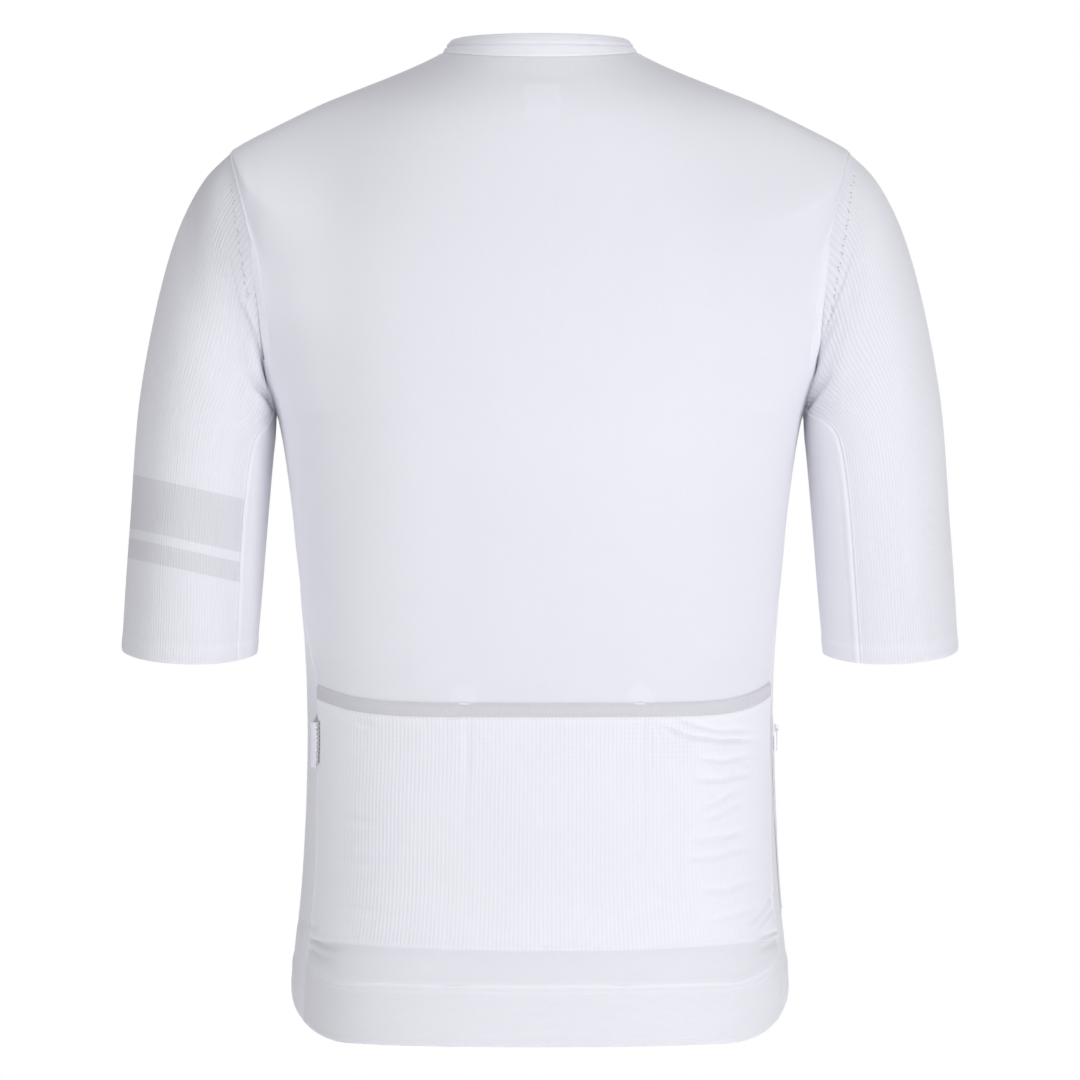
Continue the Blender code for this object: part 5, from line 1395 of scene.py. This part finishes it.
stitches("pocket_side", run_at("pocket_panel_cloth", "left", 1.6), pitch=2.7, radius=0.16)
stitches("pocket_side", run_at("pocket_panel_cloth", "right", 1.6), pitch=2.7, radius=0.16)
stitches("band_edge", run_at("pocket_band_cloth", "foot", 1.2), pitch=2.3, radius=0.17)
stitches("band_edge", run_at("pocket_band_cloth", "head", 1.2), pitch=2.3, radius=0.14)
for column in (464.0, 471.5, 637.5, 644.5):
    stitches("divider", run_down("pocket_panel_cloth", column, (0.02, 0.99)), pitch=2.5, radius=0.12, lift=-0.02)
    stitches("divider_top", run_down("pocket_band_cloth", column, (0.05, 0.95)), pitch=2.2, radius=0.15)
stitches("collar_low", run_at("collar_stand_cloth", "foot", 2.2), pitch=2.5, radius=0.17)
stitches("collar_top", run_at("collar_edge_cloth", "foot", 1.6), pitch=2.5, radius=0.16)

# bar tacks at the pocket mouth, where the dividers end
for column in (464.5, 640.0):
    points, normals = run_at("pocket_band_cloth", "head", 0.4)
    px, _ = seen(points)
    order = np.argsort(px)
    spots = np.linspace(column - 5.4, column + 5.4, 15)
    centre = np.stack([np.interp(spots, px[order], points[order, c]) for c in range(3)], -1)
    up = unit(np.stack([np.interp(spots, px[order], normals[order, c]) for c in range(3)], -1))
    ahead = unit(np.gradient(centre, axis=0))
    over = unit(np.cross(up, ahead))
    tall = 2.2 * np.sqrt(np.maximum(1 - ((spots - column) / 6.2) ** 2, 0.1))
    parts = [threads(centre[k:k + 1] + up[k:k + 1] * 0.25, over[k:k + 1], ahead[k:k + 1], up[k:k + 1], tall[k], 0.34) for k in range(len(spots))]
    STITCHES.setdefault("tack", []).extend(parts)

# dark dashes of painted shade in the gaps between the ribs, down the cap's fold on the wearer's left
for side, path_x, path_y in (("left", (230.8, 238.0, 247.8), (184, 240, 297)), ("right", (853.6, 843.5, 828.5), (176, 246, 326))):
    outer, hint, _, _ = GRIDS["sleeve_%s_cloth" % side]
    px, py = seen(outer)
    for k in range(29):
        y = path_y[0] + (path_y[-1] - path_y[0]) * (k + 0.28 * math.sin(2.4 * k)) / 28
        x = np.interp(y, path_y, path_x) + 0.5 * math.sin(1.7 * k + 1.0)
        far = (px - x) ** 2 + (py - y) ** 2 + np.where(hint[..., 1] < 0.05, 1e6, 0.0)
        i, j = np.unravel_index(np.argmin(far), far.shape)
        up = unit(hint[i, j])
        ahead = np.array([-0.6, 0.0, -0.8])
        ahead = unit(ahead - up * np.dot(ahead, up))
        dash = threads((outer[i, j] - up * 0.06)[None], ahead[None], np.cross(up, ahead)[None], up[None], 2.2 + 0.5 * math.sin(3.1 * k), 0.36 if side == "right" else 0.32)
        STITCHES.setdefault("rib_gap_shade", []).append(dash)

DARKER = {"divider_top", "band_edge"}
for group, runs in STITCHES.items():
    join_many("stitches_" + group, np.concatenate(runs), THREAD_FACES, GAP_SHADE_THREAD if group == "rib_gap_shade" else SHADE_THREAD if group in DARKER else THREAD)


# ---------------------------------------------------------------------- zips
def tooth_form(wide, long, high):
    """A chamfered tooth in its own axes: across, along, out. It reaches to one side."""
    x0, x1 = -0.25 * wide, 0.75 * wide
    points = []
    for z, inset in ((-high / 2, 0.12), (-high / 2 + 0.25, 0.0), (high / 2 - 0.3, 0.0), (high / 2, 0.28)):
        for x, y in ((x0 + inset, -long / 2 + inset), (x1 - inset, -long / 2 + inset), (x1 - inset, long / 2 - inset), (x0 + inset, long / 2 - inset)):
            points.append((x, y, z))
    faces = [(3, 2, 1, 0), (12, 13, 14, 15)]
    for ring_at in (0, 4, 8):
        for k in range(4):
            m = (k + 1) % 4
            faces.append((ring_at + k, ring_at + m, ring_at + 4 + m, ring_at + 4 + k))
    return np.array(points), faces


def chain(name, node, centre, normals, pitch, wide, long, high, mat=None):
    far = np.concatenate([[0.0], np.cumsum(np.linalg.norm(np.diff(centre, axis=0), axis=1))])
    count = int(far[-1] // pitch)
    at = (np.arange(count) + 0.5) * far[-1] / count
    place, up = at_steps(centre, far, at), unit(at_steps(normals, far, at))
    ahead = unit(at_steps(centre, far, at + 0.4) - at_steps(centre, far, at - 0.4))
    side = unit(np.cross(ahead, up))
    form, faces = tooth_form(wide, long, high)
    sign = np.where(np.arange(count) % 2, 1.0, -1.0)
    # a turned tooth is the same form spun half round, so its faces still point out
    local = form[None] * np.stack([sign, sign, np.ones(count)], -1)[:, None, :]
    parts = place[:, None, :] + local[..., :1] * side[:, None, :] + local[..., 1:2] * ahead[:, None, :] + local[..., 2:] * up[:, None, :]
    obj = join_many(name, parts, faces, mat or ZIP, sharp=30)
    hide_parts(node)
    return obj


levels = np.concatenate([np.linspace(HEM_FRONT + 1.5, -6.0, 400)])
centre_line = body(np.full(levels.shape, -math.pi / 2), levels)
centre_up = body_normal(np.full(levels.shape, -math.pi / 2), levels)
chain("front_zip_teeth", "front_zip_chain", centre_line - centre_up * 0.55, centre_up, 1.55, 3.3, 1.3, 2.2)

ZIP_Y, ZIP_TOP, ZIP_FOOT, ZIP_LEAN = 11.5, -441.0, -572.0, 0.12
zs = np.linspace(ZIP_FOOT + 3, ZIP_TOP - 12.5, 200)
angles = angle_at(ZIP_Y + ZIP_LEAN * (zs - ZIP_TOP + 7.5), zs)
side_line, side_up = mirrored(body(angles, zs)), mirrored(body_normal(angles, zs))
chain("side_zip_teeth", "side_zip_chain", side_line + side_up * 1.0, side_up, 1.5, 2.5, 1.2, 0.9)

z_grid = np.linspace(ZIP_FOOT, ZIP_TOP, 61)[:, None] + np.zeros((1, 9))
y_grid = ZIP_Y + np.linspace(-5, 5, 9)[None, :] + ZIP_LEAN * (z_grid - ZIP_TOP + 7.5)
angle_grid = angle_at(y_grid, z_grid)
shell("side_zip_tape_cloth", mirrored(body(angle_grid, z_grid)), mirrored(body_normal(angle_grid, z_grid)), 0.45, TAPE, lift=0.62, relief=-0.25 * (np.linspace(-1, 1, 9)[None, :] ** 4 + 0 * z_grid), replaces=["side_zip_tape"], roll=0.1, gap=0.0)

# the ribbon tab folded in the left side seam, with its woven scalloped edge
z_grid = np.linspace(-473.5, -444.0, 61)[:, None] + np.zeros((1, 17))
share = np.linspace(0, 1, 17)[None, :]
scallop = 0.6 * np.cos(2 * np.pi * (z_grid + 444.0) / 3.0)
y_grid = 26.8 + (35.3 + scallop - 26.8) * share - 0.25 * scallop * (1 - share)
angle_grid = angle_at(y_grid, z_grid)
swell = 0.5 * np.sin(np.pi * share) + 0 * z_grid + 0.5 * bump_at(z_grid, -445.0, 1.2)
tab_normal = body_normal(angle_grid, z_grid)
shell("side_tab_cloth", body(angle_grid, z_grid), tab_normal, 1.2, RIBBON, lift=LAYER_GAP + 1.2, relief=swell, tone=0.10 + 0 * swell, replaces=["side_tab"], roll=0.25, gap=0.0)


def bevelled(name, node, width, mat, body):
    """A softened copy of a hard node."""
    import bmesh
    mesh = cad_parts[node].data.copy()
    made = bmesh.new()
    made.from_mesh(mesh)
    bmesh.ops.remove_doubles(made, verts=made.verts, dist=1e-6)
    bmesh.ops.dissolve_limit(made, angle_limit=0.02, verts=made.verts, edges=made.edges)
    edges = [e for e in made.edges if e.is_manifold and e.calc_face_angle(0.0) > 0.6]
    bmesh.ops.bevel(made, geom=edges, offset=width * 0.001, segments=2, profile=0.6, affect="EDGES", clamp_overlap=True)
    made.to_mesh(mesh)
    made.free()
    mesh.shade_smooth()
    mesh.set_sharp_from_angle(angle=math.radians(28))
    mesh.materials.clear()
    mesh.materials.append(mat)
    obj = bpy.data.objects.new(name, mesh)
    bpy.context.scene.collection.objects.link(obj)
    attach(obj, body)
    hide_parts(node)
    PIECES[name] = obj
    return obj


bevelled("front_slider_body", "front_zip_slider", 0.3, ZIP, BODY)
bevelled("front_pull_tab", "front_zip_pull", 0.22, ZIP, "front_pull")
bevelled("side_slider_body", "side_zip_slider", 0.22, ZIP, BODY)
bevelled("side_pull_tab", "side_zip_pull", 0.18, ZIP, "side_pull")

for node, mat in (("front_zip_tape", TAPE), ("neck_label", RIBBON), ("pocket_patch_left", RIBBON), ("pocket_patch_right", RIBBON)):
    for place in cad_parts[node].material_slots:
        place.material = mat

# ------------------------------------------------------------ floor and light
def plain_material(name, rgb, glow=0.0):
    made = bpy.data.materials.new(name)
    made.use_nodes = True
    shader = made.node_tree.nodes["Principled BSDF"]
    shader.inputs["Base Color"].default_value = (*rgb, 1)
    shader.inputs["Roughness"].default_value = 1.0
    shader.inputs["Specular IOR Level"].default_value = 0.0
    shader.inputs["Emission Color"].default_value = (1, 1, 1, 1)
    shader.inputs["Emission Strength"].default_value = glow
    return made


floor_mesh = bpy.data.meshes.new("floor")
size = 6.0
floor_mesh.from_pydata([(-size, -3.5, -1.25), (size, -3.5, -1.25), (size, size, -1.25), (-size, size, -1.25)], [], [(0, 1, 2, 3)])
floor_mesh.materials.append(plain_material("white_floor", (0.9, 0.9, 0.9), 0.29))
floor = bpy.data.objects.new("floor", floor_mesh)
bpy.context.scene.collection.objects.link(floor)


def lamp(name, place, aim, power, width, height=None, rgb=(1, 1, 1)):
    data = bpy.data.lights.new(name, "AREA")
    data.energy, data.size, data.color = power, width, rgb
    if height:
        data.shape, data.size_y = "RECTANGLE", height
    obj = bpy.data.objects.new(name, data)
    obj.location = place
    from mathutils import Vector
    obj.rotation_euler = (Vector(aim) - Vector(place)).to_track_quat("-Z", "Y").to_euler()
    bpy.context.scene.collection.objects.link(obj)
    return obj


AIM = (0.0, 0.0, -0.35)
lamp("key", (-2.3, 2.9, 0.1), AIM, 11.5, 1.4)
lamp("key_low", (-2.4, 2.6, -0.9), AIM, 67, 1.4)
lamp("fill", (2.4, 2.6, -0.4), AIM, 48, 2.2)
lamp("top", (0.0, 0.8, 2.6), AIM, 50, 2.5)
lamp("side", (-3.2, 0.2, -0.3), AIM, 10, 1.8)
lamp("behind", (0.0, -3.2, 0.2), AIM, 60, 3.0)

world = bpy.data.worlds.new("white")
world.use_nodes = True
tree = world.node_tree
for node in list(tree.nodes):
    tree.nodes.remove(node)
out = tree.nodes.new("ShaderNodeOutputWorld")
mix = tree.nodes.new("ShaderNodeMixShader")
ray = tree.nodes.new("ShaderNodeLightPath")
lit, shown = tree.nodes.new("ShaderNodeBackground"), tree.nodes.new("ShaderNodeBackground")
lit.inputs["Color"].default_value, lit.inputs["Strength"].default_value = (1, 1, 1, 1), 0.01
shown.inputs["Color"].default_value, shown.inputs["Strength"].default_value = (1, 1, 1, 1), 1.0
tree.links.new(ray.outputs["Is Camera Ray"], mix.inputs[0])
tree.links.new(lit.outputs[0], mix.inputs[1])
tree.links.new(shown.outputs[0], mix.inputs[2])
tree.links.new(mix.outputs[0], out.inputs[0])
bpy.context.scene.world = world
bpy.context.scene.view_settings.view_transform = "Standard"

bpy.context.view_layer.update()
for name, (width, length, area) in MEASURES.items():
    print("cut", name, width, length, area)
total = sum(sum(len(p.vertices) - 2 for p in obj.data.polygons) for obj in PIECES.values())
print("triangles", total, max((sum(len(p.vertices) - 2 for p in obj.data.polygons), name) for name, obj in PIECES.items()))
